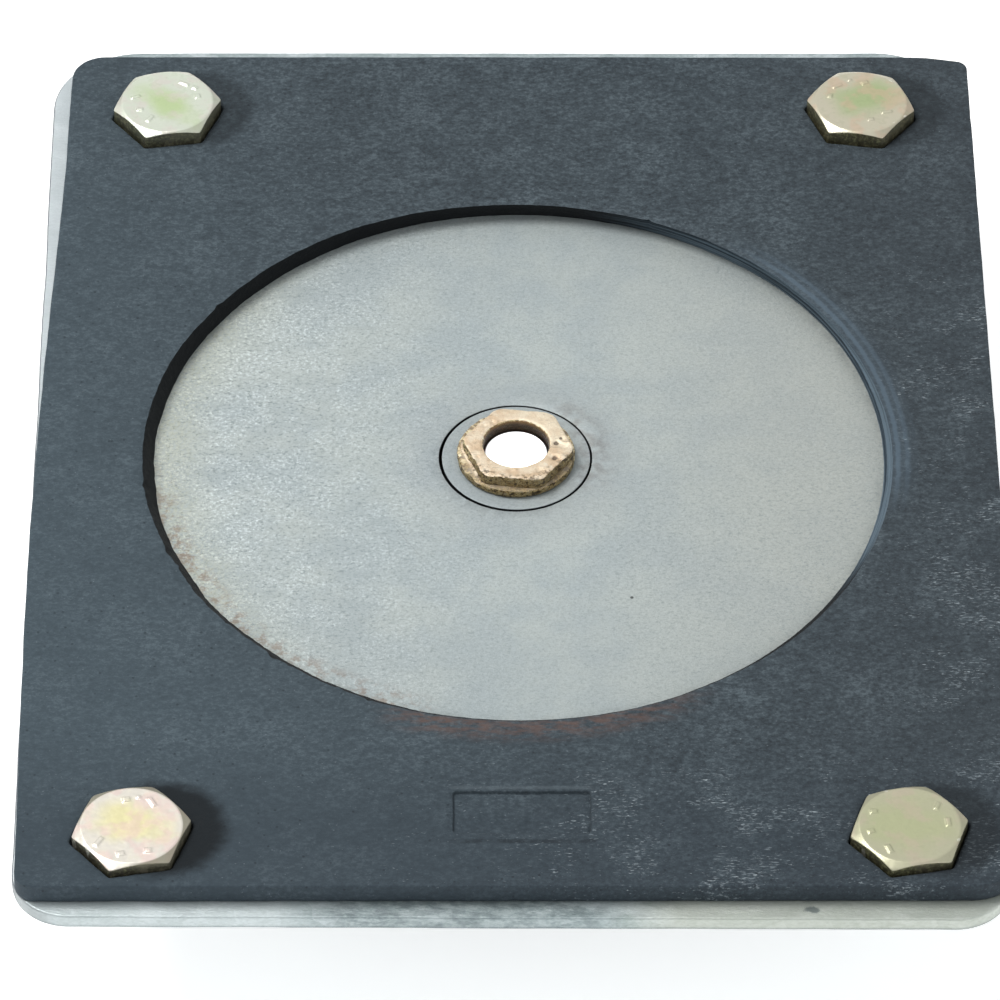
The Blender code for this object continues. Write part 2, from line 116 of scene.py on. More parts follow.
def grown(loop, distance):
    return loop + normals2(loop) * distance


def resampled(loop, step):
    """Splits each side longer than step into equal parts."""
    out = []
    for i, start in enumerate(loop):
        end = loop[(i + 1) % len(loop)]
        parts = max(1, int(math.ceil(np.linalg.norm(end - start) / step)))
        out += [start + (end - start) * j / parts for j in range(parts)]
    return np.array(out)


def rounded(corners, radii, steps, step):
    """An anticlockwise polygon with round corners, its sides split every step mm."""
    corners = [np.array(corner, float) for corner in corners]
    if np.isscalar(radii):
        radii = [radii] * len(corners)
    out = []
    for i, (corner, radius) in enumerate(zip(corners, radii)):
        last, following = corners[i - 1], corners[(i + 1) % len(corners)]
        back = (last - corner) / np.linalg.norm(last - corner)
        ahead = (following - corner) / np.linalg.norm(following - corner)
        half = math.acos(np.clip(back @ ahead, -1, 1)) / 2
        inward = (back + ahead) / np.linalg.norm(back + ahead)
        centre = corner + inward * (radius / math.sin(half))
        arm = corner + back * (radius / math.tan(half)) - centre
        sweep = math.pi - 2 * half
        for k in range(steps + 1):
            cos, sin = math.cos(sweep * k / steps), math.sin(sweep * k / steps)
            out.append(centre + np.array([arm[0] * cos - arm[1] * sin,
                                          arm[0] * sin + arm[1] * cos]))
    return resampled(np.array(out), step)


def inside(points, loop):
    x, y = points[:, 0], points[:, 1]
    hit = np.zeros(len(points), bool)
    for (x0, y0), (x1, y1) in zip(loop, np.roll(loop, -1, 0)):
        cross = (y0 > y) != (y1 > y)
        with np.errstate(divide="ignore", invalid="ignore"):
            hit ^= cross & (x < (x1 - x0) * (y - y0) / (y1 - y0) + x0)
    return hit


def within(points, outer, holes):
    hit = inside(points, outer)
    for hole in holes:
        hit &= ~inside(points, hole)
    return hit


def sheet(outer, holes, spacing=None, seed=1, keep_off=0.45):
    """Flat triangles between an outline and its holes, with loose points inside at spacing."""
    loops = [outer, *holes]
    points = np.vstack(loops)
    edges, start = [], 0
    for loop in loops:
        size = len(loop)
        edges += [(start + i, start + (i + 1) % size) for i in range(size)]
        start += size
    if spacing:
        rng = np.random.default_rng(seed)
        low, high = outer.min(0), outer.max(0)
        grid_x, grid_y = np.meshgrid(np.arange(low[0], high[0], spacing),
                                     np.arange(low[1], high[1], spacing * 0.87))
        grid_x[1::2] += spacing / 2
        jitter = rng.uniform(-0.12, 0.12, (grid_x.size, 2)) * spacing
        grid = np.c_[grid_x.ravel(), grid_y.ravel()] + jitter
        grid = grid[within(grid, outer, holes)]
        near = np.full(len(grid), 1e9)
        for loop in loops:
            # 200 points at a time, to spare memory
            for k in range(0, len(loop), 200):
                apart = np.linalg.norm(grid[:, None, :] - loop[None, k:k + 200, :], axis=2)
                near = np.minimum(near, apart.min(1))
        points = np.vstack([points, grid[near > spacing * keep_off]])
    made, _, faces, *_ = delaunay_2d_cdt([Vector(p) for p in points], edges, [], 0, 1e-7)
    points = np.array([tuple(p) for p in made])
    faces = np.array([tuple(face) for face in faces if len(face) == 3])
    return points, faces[within(points[faces].mean(1), outer, holes)]


# ---------------------------------------------------------------- edge profiles and levels

def inset_levels(loop, profile, hole=False):
    """(z, outline) levels from (z, inset) pairs; a hole's outline grows instead."""
    return [(z, grown(loop, inset if hole else -inset)) for z, inset in profile]


def lip(top, radius, steps, inset=0.0):
    """A rounded upper edge as (z, inset) pairs."""
    out = []
    for k in range(steps + 1):
        angle = math.pi / 2 * k / steps
        out.append((top - radius * (1 - math.sin(angle)), inset + radius * (1 - math.cos(angle))))
    return out


def round_edge(low, top, low_radius, top_radius, steps):
    out = []
    for k in range(steps + 1):
        angle = math.pi / 2 * k / steps
        out.append((low + low_radius * (1 - math.cos(angle)),
                    low_radius * (1 - math.sin(angle))))
    return out + lip(top, top_radius, steps)


def chamfered(low, top, size):
    return [(low, size), (low + size, 0.0), (top - size, 0.0), (top, size)]


# ---------------------------------------------------------------- mesh tools

def ring_faces(rings, size, base=0, closed=False):
    """Quads between rings of equal size; closed joins the last ring to the first."""
    faces = []
    for k in range(rings if closed else rings - 1):
        low, high = base + k * size, base + (k + 1) % rings * size
        for i in range(size):
            j = (i + 1) % size
            faces.append((low + i, low + j, high + j, high + i))
    return faces


class Shell:
    """Collects the walls and caps of one closed piece."""

    def __init__(self):
        self.points, self.faces = [], []

    def walls(self, levels, turned_in=False):
        base, size = len(self.points), len(levels[0][1])
        for z, loop in levels:
            self.points += [(x, y, z) for x, y in loop]
        faces = ring_faces(len(levels), size, base)
        self.faces += [face[::-1] for face in faces] if turned_in else faces

    def cap(self, outer, holes, z, lift=None, **sheet_args):
        """A flat cap; lift(x, y) raises its points away from the outlines."""
        points, faces = sheet(outer, holes, **sheet_args)
        rim = {tuple(np.round(p, 5)) for p in np.vstack([outer, *holes])}
        base = len(self.points)
        for p in points:
            flat = lift is None or tuple(np.round(p, 5)) in rim
            self.points.append((p[0], p[1], z + (0.0 if flat else lift(p[0], p[1]))))
        self.faces += [tuple(int(i) + base for i in face) for face in faces]


def slab(bounds, lift=None, lift_low=None, spacing=None):
    """Points and faces of a slab from its boundaries, the outline first.

    Each boundary is a list of (z, loop) levels from bottom to top.
    """
    shell = Shell()
    for levels in bounds:
        shell.walls(levels)
    for end, lift_by in ((0, lift_low), (-1, lift)):
        loops = [levels[end][1] for levels in bounds]
        shell.cap(loops[0], loops[1:], bounds[0][end][0], lift_by,
                  spacing=spacing if lift_by else None)
    return shell.points, shell.faces


def make(name, points, faces, body, slot, replaces, sharp, merge=1e-6):
    """A closed object from points in mm; its normals face out."""
    mesh = bpy.data.meshes.new(name)
    mesh.from_pydata([tuple(p) for p in np.asarray(points, float) * MM], [], faces)
    work = bmesh.new()
    work.from_mesh(mesh)
    bmesh.ops.remove_doubles(work, verts=work.verts, dist=merge)
    bmesh.ops.dissolve_degenerate(work, edges=work.edges, dist=1e-9)
    bmesh.ops.recalc_face_normals(work, faces=work.faces)
    if work.calc_volume(signed=True) < 0:
        bmesh.ops.reverse_faces(work, faces=work.faces)
    work.to_mesh(mesh)
    work.free()
    mesh.shade_smooth()
    mesh.set_sharp_from_angle(angle=math.radians(sharp))
    obj = bpy.data.objects.new(name, mesh)
    bpy.context.scene.collection.objects.link(obj)
    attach(obj, body)
    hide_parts(replaces)
    return obj


def looped(name, rings, body, slot, replaces, sharp):
    """A closed piece from rings of equal count; the last joins the first."""
    points = [p for ring in rings for p in ring]
    faces = ring_faces(len(rings), len(rings[0]), closed=True)
    return make(name, points, faces, body, slot, replaces, sharp)


def turned(name, profile, count, body, slot, replaces, sharp):
    """A piece turned about Z from a closed (radius, z) profile."""
    rings = [[(x, y, z) for x, y in circle(radius, count)] for radius, z in profile]
    return looped(name, rings, body, slot, replaces, sharp)


def cut(obj, shape, name, sharp):
    """Takes a bmesh shape out of obj with an applied boolean."""
    mesh = bpy.data.meshes.new(name)
    shape.to_mesh(mesh)
    shape.free()
    tool = bpy.data.objects.new(name, mesh)
    bpy.context.scene.collection.objects.link(tool)
    boolean = obj.modifiers.new("cut", "BOOLEAN")
    boolean.operation, boolean.solver, boolean.object = "DIFFERENCE", "EXACT", tool
    graph = bpy.context.evaluated_depsgraph_get()
    result = bpy.data.meshes.new_from_object(obj.evaluated_get(graph))
    obj.modifiers.clear()
    old = obj.data
    obj.data = result
    bpy.data.meshes.remove(old)
    bpy.data.objects.remove(tool, do_unlink=True)
    obj.data.set_sharp_from_angle(angle=math.radians(sharp))
    return obj


def dress(obj, material):
    slots = obj.data.materials
    if not slots:
        slots.append(material)
    for i in range(len(slots)):
        slots[i] = material


# ================================================================ shared dimensions

HEAD_TURNS = {"rear_left": 8.6, "rear_right": 51.5, "front_left": 10.9, "front_right": 11.0}
BOLTS = {}                    # corner: x, y and the head's turn
for corner, head_turn in HEAD_TURNS.items():
    low, high = box_mm("bolt_keeper_" + corner)
    BOLTS[corner] = (float(low[0] + high[0]) / 2, float(low[1] + high[1]) / 2, head_turn)
PLATE_LOW = float(box_mm("flange_plate")[0][2])
PLATE_TOP = float(box_mm("flange_plate")[1][2])
PAD_LOW = PLATE_TOP + 0.03
PAD_TOP = float(box_mm("rubber_pad")[1][2])
BOLT_FLATS = 18.7             # across the head's flats
LID_RADIUS = 80.0
SCREW_PLACES = [polar(74.8, 30 + 60 * k) for k in range(6)]
SCREW_HOLE_RADIUS = 2.35
SCREW_HOLE_SIDES = 28


# ================================================================ flange plate

PLATE_CORNERS = [(-91.7, 117.8), (-89.6, -116.2), (86.9, -117.1), (87.2, 117.9)]
PLATE_RADII = [17.0, 10.5, 10.5, 14.0]
PLATE_BORE = LID_RADIUS + 0.3
BOLT_HOLE = 6.7
PLATE_EDGE_RIPPLE = ((0.22, 0.045, 3.1), (0.06, 0.3, 7.7))
PLATE_TOP_RIPPLE = ((0.05, 0.05, 1.0),)


def plate_piece():
    outline = rounded(PLATE_CORNERS, PLATE_RADII, steps=14, step=2.6)
    outline = grown(outline, np.clip(ripples(outline, PLATE_EDGE_RIPPLE) - 0.06, -0.4, 0.0))
    bounds = [inset_levels(outline, round_edge(PLATE_LOW, PLATE_TOP, 0.6, 0.4, 5)),
              inset_levels(circle(PLATE_BORE, 160), chamfered(PLATE_LOW, PLATE_TOP, 0.3), True)]
    for x, y, _ in BOLTS.values():
        bounds.append(inset_levels(circle(BOLT_HOLE, 40, (x, y)),
                                   chamfered(PLATE_LOW, PLATE_TOP, 0.25), True))
    faces = slab(bounds, spacing=4.0, lift_low=lambda x, y: 0.02,
                 lift=lambda x, y: min(0.0, ripple(x, y, PLATE_TOP_RIPPLE, base=-0.02)))
    return make("flange_galvanised", *faces, "housing", "galvanised_plate", "flange_plate",
                sharp=40)


# ================================================================ rubber pad

# The window is a slightly uneven oval at its upper rim and a circle at its foot.
RIM_CENTRE, RIM_RADII = (-0.55, -2.75), (71.05, 70.05)
FOOT_CENTRE, FOOT_RADIUS = (0.5, 0.0), 68.6
WINDOW_POINTS = 720
WINDOW_LEVELS = (0.0, 0.07, 0.15, 0.23, 0.31, 0.39, 0.47, 0.55, 0.63, 0.71, 0.79, 0.87)
# swells of the cut: height, bearing, width
RIM_SWELLS = [(-1.55, 216, 29), (-1.45, 152, 30), (-0.6, 178, 12), (-0.35, 96, 22),
              (-0.5, 197, 10)]
FOOT_SWELLS = [(-0.35, 140, 26), (0.55, 36, 26)]
RAGGED_SWELLS = [(0.24, 222, 34), (0.08, 150, 40)]
# nicks in the upper rim: bearing, width, depth
NICKS = [(187.5, 1.0, 0.45), (203.0, 1.5, 0.55), (206.5, 0.7, -0.35), (221.0, 0.8, 0.40),
         (231.0, 1.7, 0.95), (234.2, 0.8, 0.45), (243.0, 0.9, -0.40), (248.0, 0.7, 0.45),
         (68.0, 0.8, 0.6), (144.0, 1.4, 0.55)]

PAD_CORNERS = [(-87.9, 111.68), (-88.9, -112.88), (89.75, -112.78), (90.85, 110.08),
               (82.0, 111.68)]
PAD_RADII = [6.5, 3.5, 10.5, 2.4, 8.0]
PAD_EDGE_RIPPLE = ((0.10, 0.11, 5.0), (0.05, 0.6, 8.0))
PAD_TOP_RIPPLE = ((0.10, 0.035, 0.0), (0.05, 0.12, 4.0), (0.018, 0.5, 9.0))
POCKET_FLATS = BOLT_FLATS + 0.56
POCKET_RIPPLE = ((0.16, 0.5, 4.0),)

# the sunk panel in the front strip
PANEL = [(-11.95, -89.8), (-11.9, -100.2), (12.8, -100.2), (12.9, -89.8)]
PANEL_WALL = [(0.10, 0.14), (0.30, 0.24), (0.58, 0.30), (0.68, 0.44)]      # depth, inset
PANEL_RIM_RIPPLE = ((0.12, 0.7, 2.2),)
PANEL_RIPPLE = ((0.07, 0.6, 1.0), (0.03, 2.0, 6.0))
# worn swellings on its floor: x, y, half length, half width, turn
PANEL_BARS = [(-8.2, -94.6, 1.5, 2.0, 24), (-4.6, -95.6, 1.0, 1.4, -30),
              (0.9, -95.2, 0.8, 2.6, -38), (5.4, -94.6, 1.1, 1.2, 0), (8.3, -95.4, 1.0, 1.6, 30)]


def window_ring(share, z):
    """The window's outline at height z; share runs from 0 at its foot to 1 at its upper rim."""
    centre_x, centre_y = (foot + (rim - foot) * share
                          for foot, rim in zip(FOOT_CENTRE, RIM_CENTRE))
    radius_x, radius_y = (FOOT_RADIUS + (rim - FOOT_RADIUS) * share for rim in RIM_RADII)
    loop = []
    for k in range(WINDOW_POINTS):
        angle = 2 * math.pi * k / WINDOW_POINTS
        degrees = math.degrees(angle)
        cos, sin = math.cos(angle), math.sin(angle)
        out = share * swells(degrees, RIM_SWELLS)
        out += (1 - share) * swells(degrees, FOOT_SWELLS)
        out += swells(degrees, RAGGED_SWELLS, base=0.09) * ripple(
            cos, sin, ((1.0, 6, 2.0), (0.6, 21, 0.4 * z), (0.5, 55, 0.7 * z)))
        # level ridges in the right wall
        ridge = angle_bump(degrees, -2, 50) * 0.30 * math.sin(math.pi * share)
        out += (ridge * math.cos(2 * math.pi * (z - 38.0) / 1.5)
                * ripple(cos, sin, ((0.5, 9, 9.0),), base=0.8))
        for bearing, width, depth in NICKS:
            out += 0.75 * depth * angle_bump(degrees, bearing, width * 0.55) * share * share
        loop.append((centre_x + (radius_x + out) * cos, centre_y + (radius_y + out) * sin))
    return np.array(loop)


def pad_outline():
    out = []
    for x, y in rounded(PAD_CORNERS, PAD_RADII, steps=12, step=1.6):
        # the left side bulges outward
        along = (y + 112.0) / 190.0
        if x < -80 and 0.0 < along < 1.0:
            x -= 1.7 * math.sin(math.pi * along) ** 1.2
        out.append((x, y))
    loop = np.array(out)
    loop = loop[np.linalg.norm(loop - np.roll(loop, 1, 0), axis=1) > 0.12]
    return grown(loop, np.clip(ripples(loop, PAD_EDGE_RIPPLE) - 0.05, -0.5, 0.0))


def pocket_outline(x, y, turn):
    """A hexagon round a bolt head."""
    reach = POCKET_FLATS / math.sqrt(3)
    corners = [polar(reach, turn + 60 * i, (x, y)) for i in range(6)]
    loop = rounded(corners, 0.8, steps=5, step=reach / 7)
    return grown(loop, np.clip(ripples(loop, POCKET_RIPPLE), -0.05, 0.2))


def box_field(x, y, centre, half_length, half_width, soft, turn):
    """1 inside a rounded bar, 0 outside."""
    cos, sin = math.cos(math.radians(turn)), math.sin(math.radians(turn))
    x, y = x - centre[0], y - centre[1]
    along = abs(x * cos + y * sin) - half_length
    across = abs(-x * sin + y * cos) - half_width
    apart = math.hypot(max(along, 0), max(across, 0)) + min(max(along, across), 0)
    return ease(min(1.0, max(0.0, 0.5 - apart / soft)))


def pad_sag(x, y):
    """Wavy rubber, lower round the bolts and raised in a lip round the panel."""
    height = ripple(x, y, PAD_TOP_RIPPLE)
    for bolt_x, bolt_y, _ in BOLTS.values():
        apart = math.hypot(x - bolt_x, y - bolt_y)
        if apart < 20:
            height -= 0.10 * math.exp(-((apart - 10.5) / 2.6) ** 2)
    apart = math.hypot(max(abs(x - 0.5) - 12.4, 0), max(abs(y + 95.0) - 5.2, 0))
    if apart < 4:
        height += 0.10 * math.exp(-((apart - 0.9) / 0.7) ** 2)
    return min(0.0, height - 0.14)


def panel_relief(x, y):
    height = 0.0
    for bar_x, bar_y, length, width, turn in PANEL_BARS:
        field = box_field(x, y, (bar_x, bar_y), length, width, soft=1.9, turn=turn)
        height = max(height, 0.34 * field)
    # a ridge along the right end
    height += 0.22 * math.exp(-((x - 11.3) / 0.9) ** 2) * (0.8 + 0.9 * noise3(x, y * 0.6, 3.0))
    return ripple(x, y, PANEL_RIPPLE, base=height)


def pad_piece():
    shell = Shell()
    low, top = PAD_LOW, PAD_TOP
    side = [(low, 0.25), (low + 0.25, 0.08), (low + 0.7, 0.0), (low + 1.6, 0.0), (low + 2.8, 0.02)]
    outer = inset_levels(pad_outline(), side + lip(top, 0.32, 5, inset=0.04))
    shell.walls(outer)

    window = []
    for share in WINDOW_LEVELS:
        z = low + (top - low) * share
        window.append((z, window_ring(share, z)))
    below_rim, rim = window_ring(0.93, top - 0.3), window_ring(1.0, top)
    for k, (z, _) in enumerate(lip(top, 0.42, 4)[1:], start=1):
        window.append((z, below_rim * (1 - k / 4) + rim * (k / 4)))
    shell.walls(window, turned_in=True)

    holes = [window]
    for bolt in BOLTS.values():
        profile = [(low, 0.0)] + lip(top, 0.5, 4, inset=0.03)
        holes.append(inset_levels(pocket_outline(*bolt), profile, hole=True))
        shell.walls(holes[-1], turned_in=True)
    shell.cap(outer[0][1], [hole[0][1] for hole in holes], low)

    panel = rounded(PANEL, 0.9, steps=6, step=0.6)
    panel = grown(panel, ripples(panel, PANEL_RIM_RIPPLE))
    panel_wall = [(top, panel)] + [(top - depth, grown(panel, -inset))
                                   for depth, inset in PANEL_WALL]
    shell.cap(outer[-1][1], [hole[-1][1] for hole in holes] + [panel], top,
              spacing=1.9, seed=5, keep_off=0.5)
    shell.walls(panel_wall, turned_in=True)
    floor_z, floor_loop = panel_wall[-1]
    shell.cap(floor_loop, [], floor_z, panel_relief, spacing=0.36, seed=8)

    # the surface's waves die out towards the underside
    points = [(x, y, z + pad_sag(x, y) * min(1.0, max(0.0, (z - low) / (top - low))))
              for x, y, z in shell.points]
    return make("pad_rubber", points, shell.faces, "housing", "pad_rubber", "rubber_pad",
                sharp=46, merge=2e-6)


# ================================================================ lid and hub ring

LID_BORE_CENTRE, LID_BORE_RADIUS = (-0.10, -0.08), 14.42
LID_BORE_RIPPLE = ((0.05, 0.3, 2.0), (0.03, 1.4, 5.0))
LID_RIPPLE = ((0.035, 0.06, 11.0), (0.012, 0.4, 2.0))
COUNTERSINK_RADIUS, COUNTERSINK_Z = 4.35, 36.0
HUB_PROFILE = ([(10.4, 33.0), (13.6, 33.0), (13.95, 33.4), (13.95, 37.88)]
               + arc(13.83, 37.88, 0.12, 0, 90, 4)[1:]
               + [(13.2, 37.985), (12.4, 38.0), (11.6, 37.985), (10.8, 38.0), (10.4, 37.9)])


def lid_piece():
    bounds = [inset_levels(circle(LID_RADIUS, 200), chamfered(PLATE_LOW, PLATE_TOP, 0.3))]
    bore = circle(LID_BORE_RADIUS, 144, LID_BORE_CENTRE)
    bore = grown(bore, ripples(bore, LID_BORE_RIPPLE))
    profile = [(PLATE_LOW, 0.0), (PLATE_TOP - 0.12, 0.0), (PLATE_TOP - 0.04, 0.03),
               (PLATE_TOP, 0.10)]
    bounds.append(inset_levels(bore, profile, hole=True))
    for place in SCREW_PLACES:
        hole = circle(SCREW_HOLE_RADIUS, SCREW_HOLE_SIDES, place)
        mouth = circle(COUNTERSINK_RADIUS, SCREW_HOLE_SIDES, place)
        bounds.append([(PLATE_LOW, hole), (COUNTERSINK_Z, hole), (PLATE_TOP, mouth)])
    faces = slab(bounds, lift=lambda x, y: ripple(x, y, LID_RIPPLE) - 0.02, spacing=2.6)
    return make("lid_disc", *faces, "housing", "lid_steel", "top_lid", sharp=38)


def hub_piece():
    return turned("hub_ring_turned", HUB_PROFILE, 160, "rotor", "lid_steel", "hub_ring", sharp=38)


# ================================================================ brass nut and liner

NUT_SIDES, NUT_TURN, NUT_FLATS = 240, 52.2, 18.9
NUT_SHIFT = (0.42, -0.24)                    # of the hexagon from the axis
NUT_TOP, NUT_STEP, COLLAR_LOW = 41.9, 39.62, 38.1
NUT_BORE = 6.2
NUT_TOP_RIPPLE = ((0.07, 0.35, 3.0), (0.05, 1.1, 5.0), (0.03, 3.0, 1.0))
# pits in the top face: radius, bearing, width, depth
NUT_PITS = [(7.5, 1.0, 0.7, 0.9), (8.15, -28.0, 0.75, 0.9), (8.5, 9.0, 0.4, 0.5),
            (7.3, 128.0, 0.5, 0.45), (7.5, 141.0, 0.55, 0.4), (8.4, 205.0, 0.5, 0.35),
            (7.6, 262.0, 0.7, 0.35), (8.6, 300.0, 0.8, 0.5), (7.4, 330.0, 0.55, 0.4),
            (8.8, 356.0, 0.8, 0.6)]
# collar: radius, z, and the chewing's layer, level and share
NUT_COLLAR = [(11.05, COLLAR_LOW + 0.28, 1.0, 0, 0.5), (11.05, COLLAR_LOW + 0.75, 1.0, 0.6, 0.6),
              (11.03, NUT_STEP - 0.25, 1.0, 1.2, 0.8), (10.88, NUT_STEP - 0.03, 1.5, 1.5, 1.0)]
# hexagon's sides: z, inset
NUT_FLANKS = [(39.85, 0.0), (40.2, 0.0), (40.55, 0.02), (40.9, 0.04), (41.2, 0.10)]
# hexagon's upper edge: inset, chewing's level and share, drop below the face, highest z
NUT_LIP = [(0.14, 41.3, 1.0, 0.13, 41.46), (0.24, 41.5, 1.0, 0.05, NUT_TOP),
           (0.42, 41.7, 0.8, 0.0, NUT_TOP)]
# bore's mouth: radius, chewing's share, drop below the face
NUT_MOUTH = [(6.62, 0.7, 0.05), (6.40, 0.5, 0.20), (6.26, 0.3, 0.48)]
LINER_PROFILE = ([(5.3, 0.9), (5.9, 0.9), (5.9, 38.9)] + arc(5.6, 39.0, 0.3, 0, 180, 8)
                 + [(5.3, 38.6), (5.3, 20.0)])


def soft_hex(flats, degrees, corner):
    """Radius of a hexagon whose corners are worn round."""
    reach = 0.5 * flats / math.cos(math.radians((degrees % 60.0) - 30.0))
    limit = flats / math.sqrt(3) - corner
    return limit - math.log1p(math.exp((limit - reach) * 9.0)) / 9.0


def chew(angle, layer, level):
    """Wear of the nut's edges, worst at the front left."""
    return (1.0 + 1.1 * angle_bump(math.degrees(angle), 235, 60)) * ripple(
        math.cos(angle), math.sin(angle),
        ((0.10, 3, layer), (0.09, 9, layer + level * 1.3), (0.08, 26, layer + 2 * level)))


def nut_face(angle, radius):
    """Height of the top face: hammered and pitted, sinking to worn corners."""
    x, y = radius * math.cos(angle), radius * math.sin(angle)
    height = ripple(x, y, NUT_TOP_RIPPLE)
    for pit_radius, bearing, width, depth in NUT_PITS:
        pit_x, pit_y = polar(pit_radius, bearing)
        apart = math.hypot(x - pit_x, y - pit_y) / width
        if apart < 2.5:
            height -= (depth * 0.55 * math.exp(-apart ** 3)
                       * ripple(x, y, ((0.5, 2, 8.0),), base=0.8))
    height -= 0.07 * max(0.0, radius - 8.9) ** 1.5
    return min(NUT_TOP, NUT_TOP - 0.08 + height)


def nut_piece():
    rings = []

    def ring(radius, height, shift=0.0):
        """Adds a ring; radius(degrees, angle) and height(angle, radius), or plain numbers."""
        out = []
        for i in range(NUT_SIDES):
            degrees = 360.0 * i / NUT_SIDES
            angle = math.radians(degrees + NUT_TURN)
            r = radius(degrees, angle) if callable(radius) else radius
            z = height(angle, r) if callable(height) else height
            out.append((r * math.cos(angle) + NUT_SHIFT[0] * shift,
                        r * math.sin(angle) + NUT_SHIFT[1] * shift, z))
        rings.append(out)

    def hexagon(degrees):
        return soft_hex(NUT_FLATS, degrees, 0.42)

    for radius, z in ((NUT_BORE, 33.6), (8.0, 33.6), (8.0, COLLAR_LOW), (10.85, COLLAR_LOW)):
        ring(radius, z)
    for radius, z, layer, level, share in NUT_COLLAR:
        ring(lambda deg, ang: radius + chew(ang, layer, level) * share, z)
    ring(lambda deg, ang: (min(10.75, soft_hex(NUT_FLATS, deg, 0.45) + 0.12)
                           + chew(ang, 1.5, 1.9) * 0.5), NUT_STEP + 0.04)
    for z, inset in NUT_FLANKS:
        ring(lambda deg, ang: hexagon(deg) - inset + chew(ang, 3.0, z), z, 1.0)
    for inset, level, share, drop, highest in NUT_LIP:
        ring(lambda deg, ang: hexagon(deg) - inset + chew(ang, 3.0, level) * share,
             lambda ang, r: min(highest, nut_face(ang, r) - drop), 1.0)
    for t in np.linspace(0.05, 0.93, 13):
        ring(lambda deg, ang: (hexagon(deg) - 0.44) * (1 - t) + 6.75 * t, nut_face, 1.0 - t)
    for radius, share, drop in NUT_MOUTH:
        ring(lambda deg, ang: radius + chew(ang, 7.0, 0) * share,
             lambda ang, r: nut_face(ang, r) - drop)
    # coarse grooves down the bore
    for k in range(8):
        ring(NUT_BORE + 0.05 * (k % 2), 40.6 - k * 0.45)
    return looped("nut_worn", rings, "rotor", "nut_brass", "brass_nut", sharp=50)


def liner_piece():
    return turned("liner_white", LINER_PROFILE, 96, "rotor", "white_nylon", "bore_liner", sharp=40)


# ================================================================ bolts

# raised marks on each head: radius from its centre, bearing, half length, half width, turn
MARKS = {
    "rear_left": [(6.3, 60, 1.05, 0.36, 150), (6.8, 38, 0.55, 0.48, 150),
                  (6.2, 15, 0.62, 0.5, 100), (6.4, 168, 0.9, 0.36, 20),
                  (5.8, 204, 0.6, 0.52, 0), (6.1, 238, 1.0, 0.4, 60)],
    "rear_right": [(5.9, 80, 0.66, 0.52, 20), (6.9, 106, 0.36, 0.34, 0),
                   (6.5, 133, 1.05, 0.36, 30), (6.3, 163, 0.6, 0.46, 80),
                   (5.9, -32, 1.05, 0.38, 10), (5.6, -72, 0.6, 0.5, 0)],
    "front_left": [(6.3, 100, 0.66, 0.54, 10), (6.9, 81, 0.34, 0.34, 0),
                   (6.6, 58, 1.15, 0.42, 118), (6.8, 215, 1.15, 0.42, 60),
                   (7.0, 257, 0.66, 0.54, 15), (6.8, 298, 0.62, 0.56, 0)],
    "front_right": [(7.0, 152, 0.62, 0.52, 0), (7.0, 192, 0.6, 0.5, 20),
                    (6.9, 236, 1.0, 0.44, 110), (6.9, 42, 0.9, 0.38, 70),
                    (6.9, 6, 1.0, 0.44, 95)],
}
BOLT_SIDES = 216
BOLT_SEAT = PLATE_TOP + 0.04
FACE_DROP, MARK_HEIGHT = 0.24, 0.22          # the head's face lies below the marks' tops
FACE_RADIUS = 0.5 * BOLT_FLATS * 0.965
CHAMFER_SLOPE = math.tan(math.radians(27))
THREAD_RADIUS, THREAD_PITCH, THREAD_DEPTH = 6.0, 1.75, 0.98
THREAD_TOP = BOLT_SEAT - 1.6


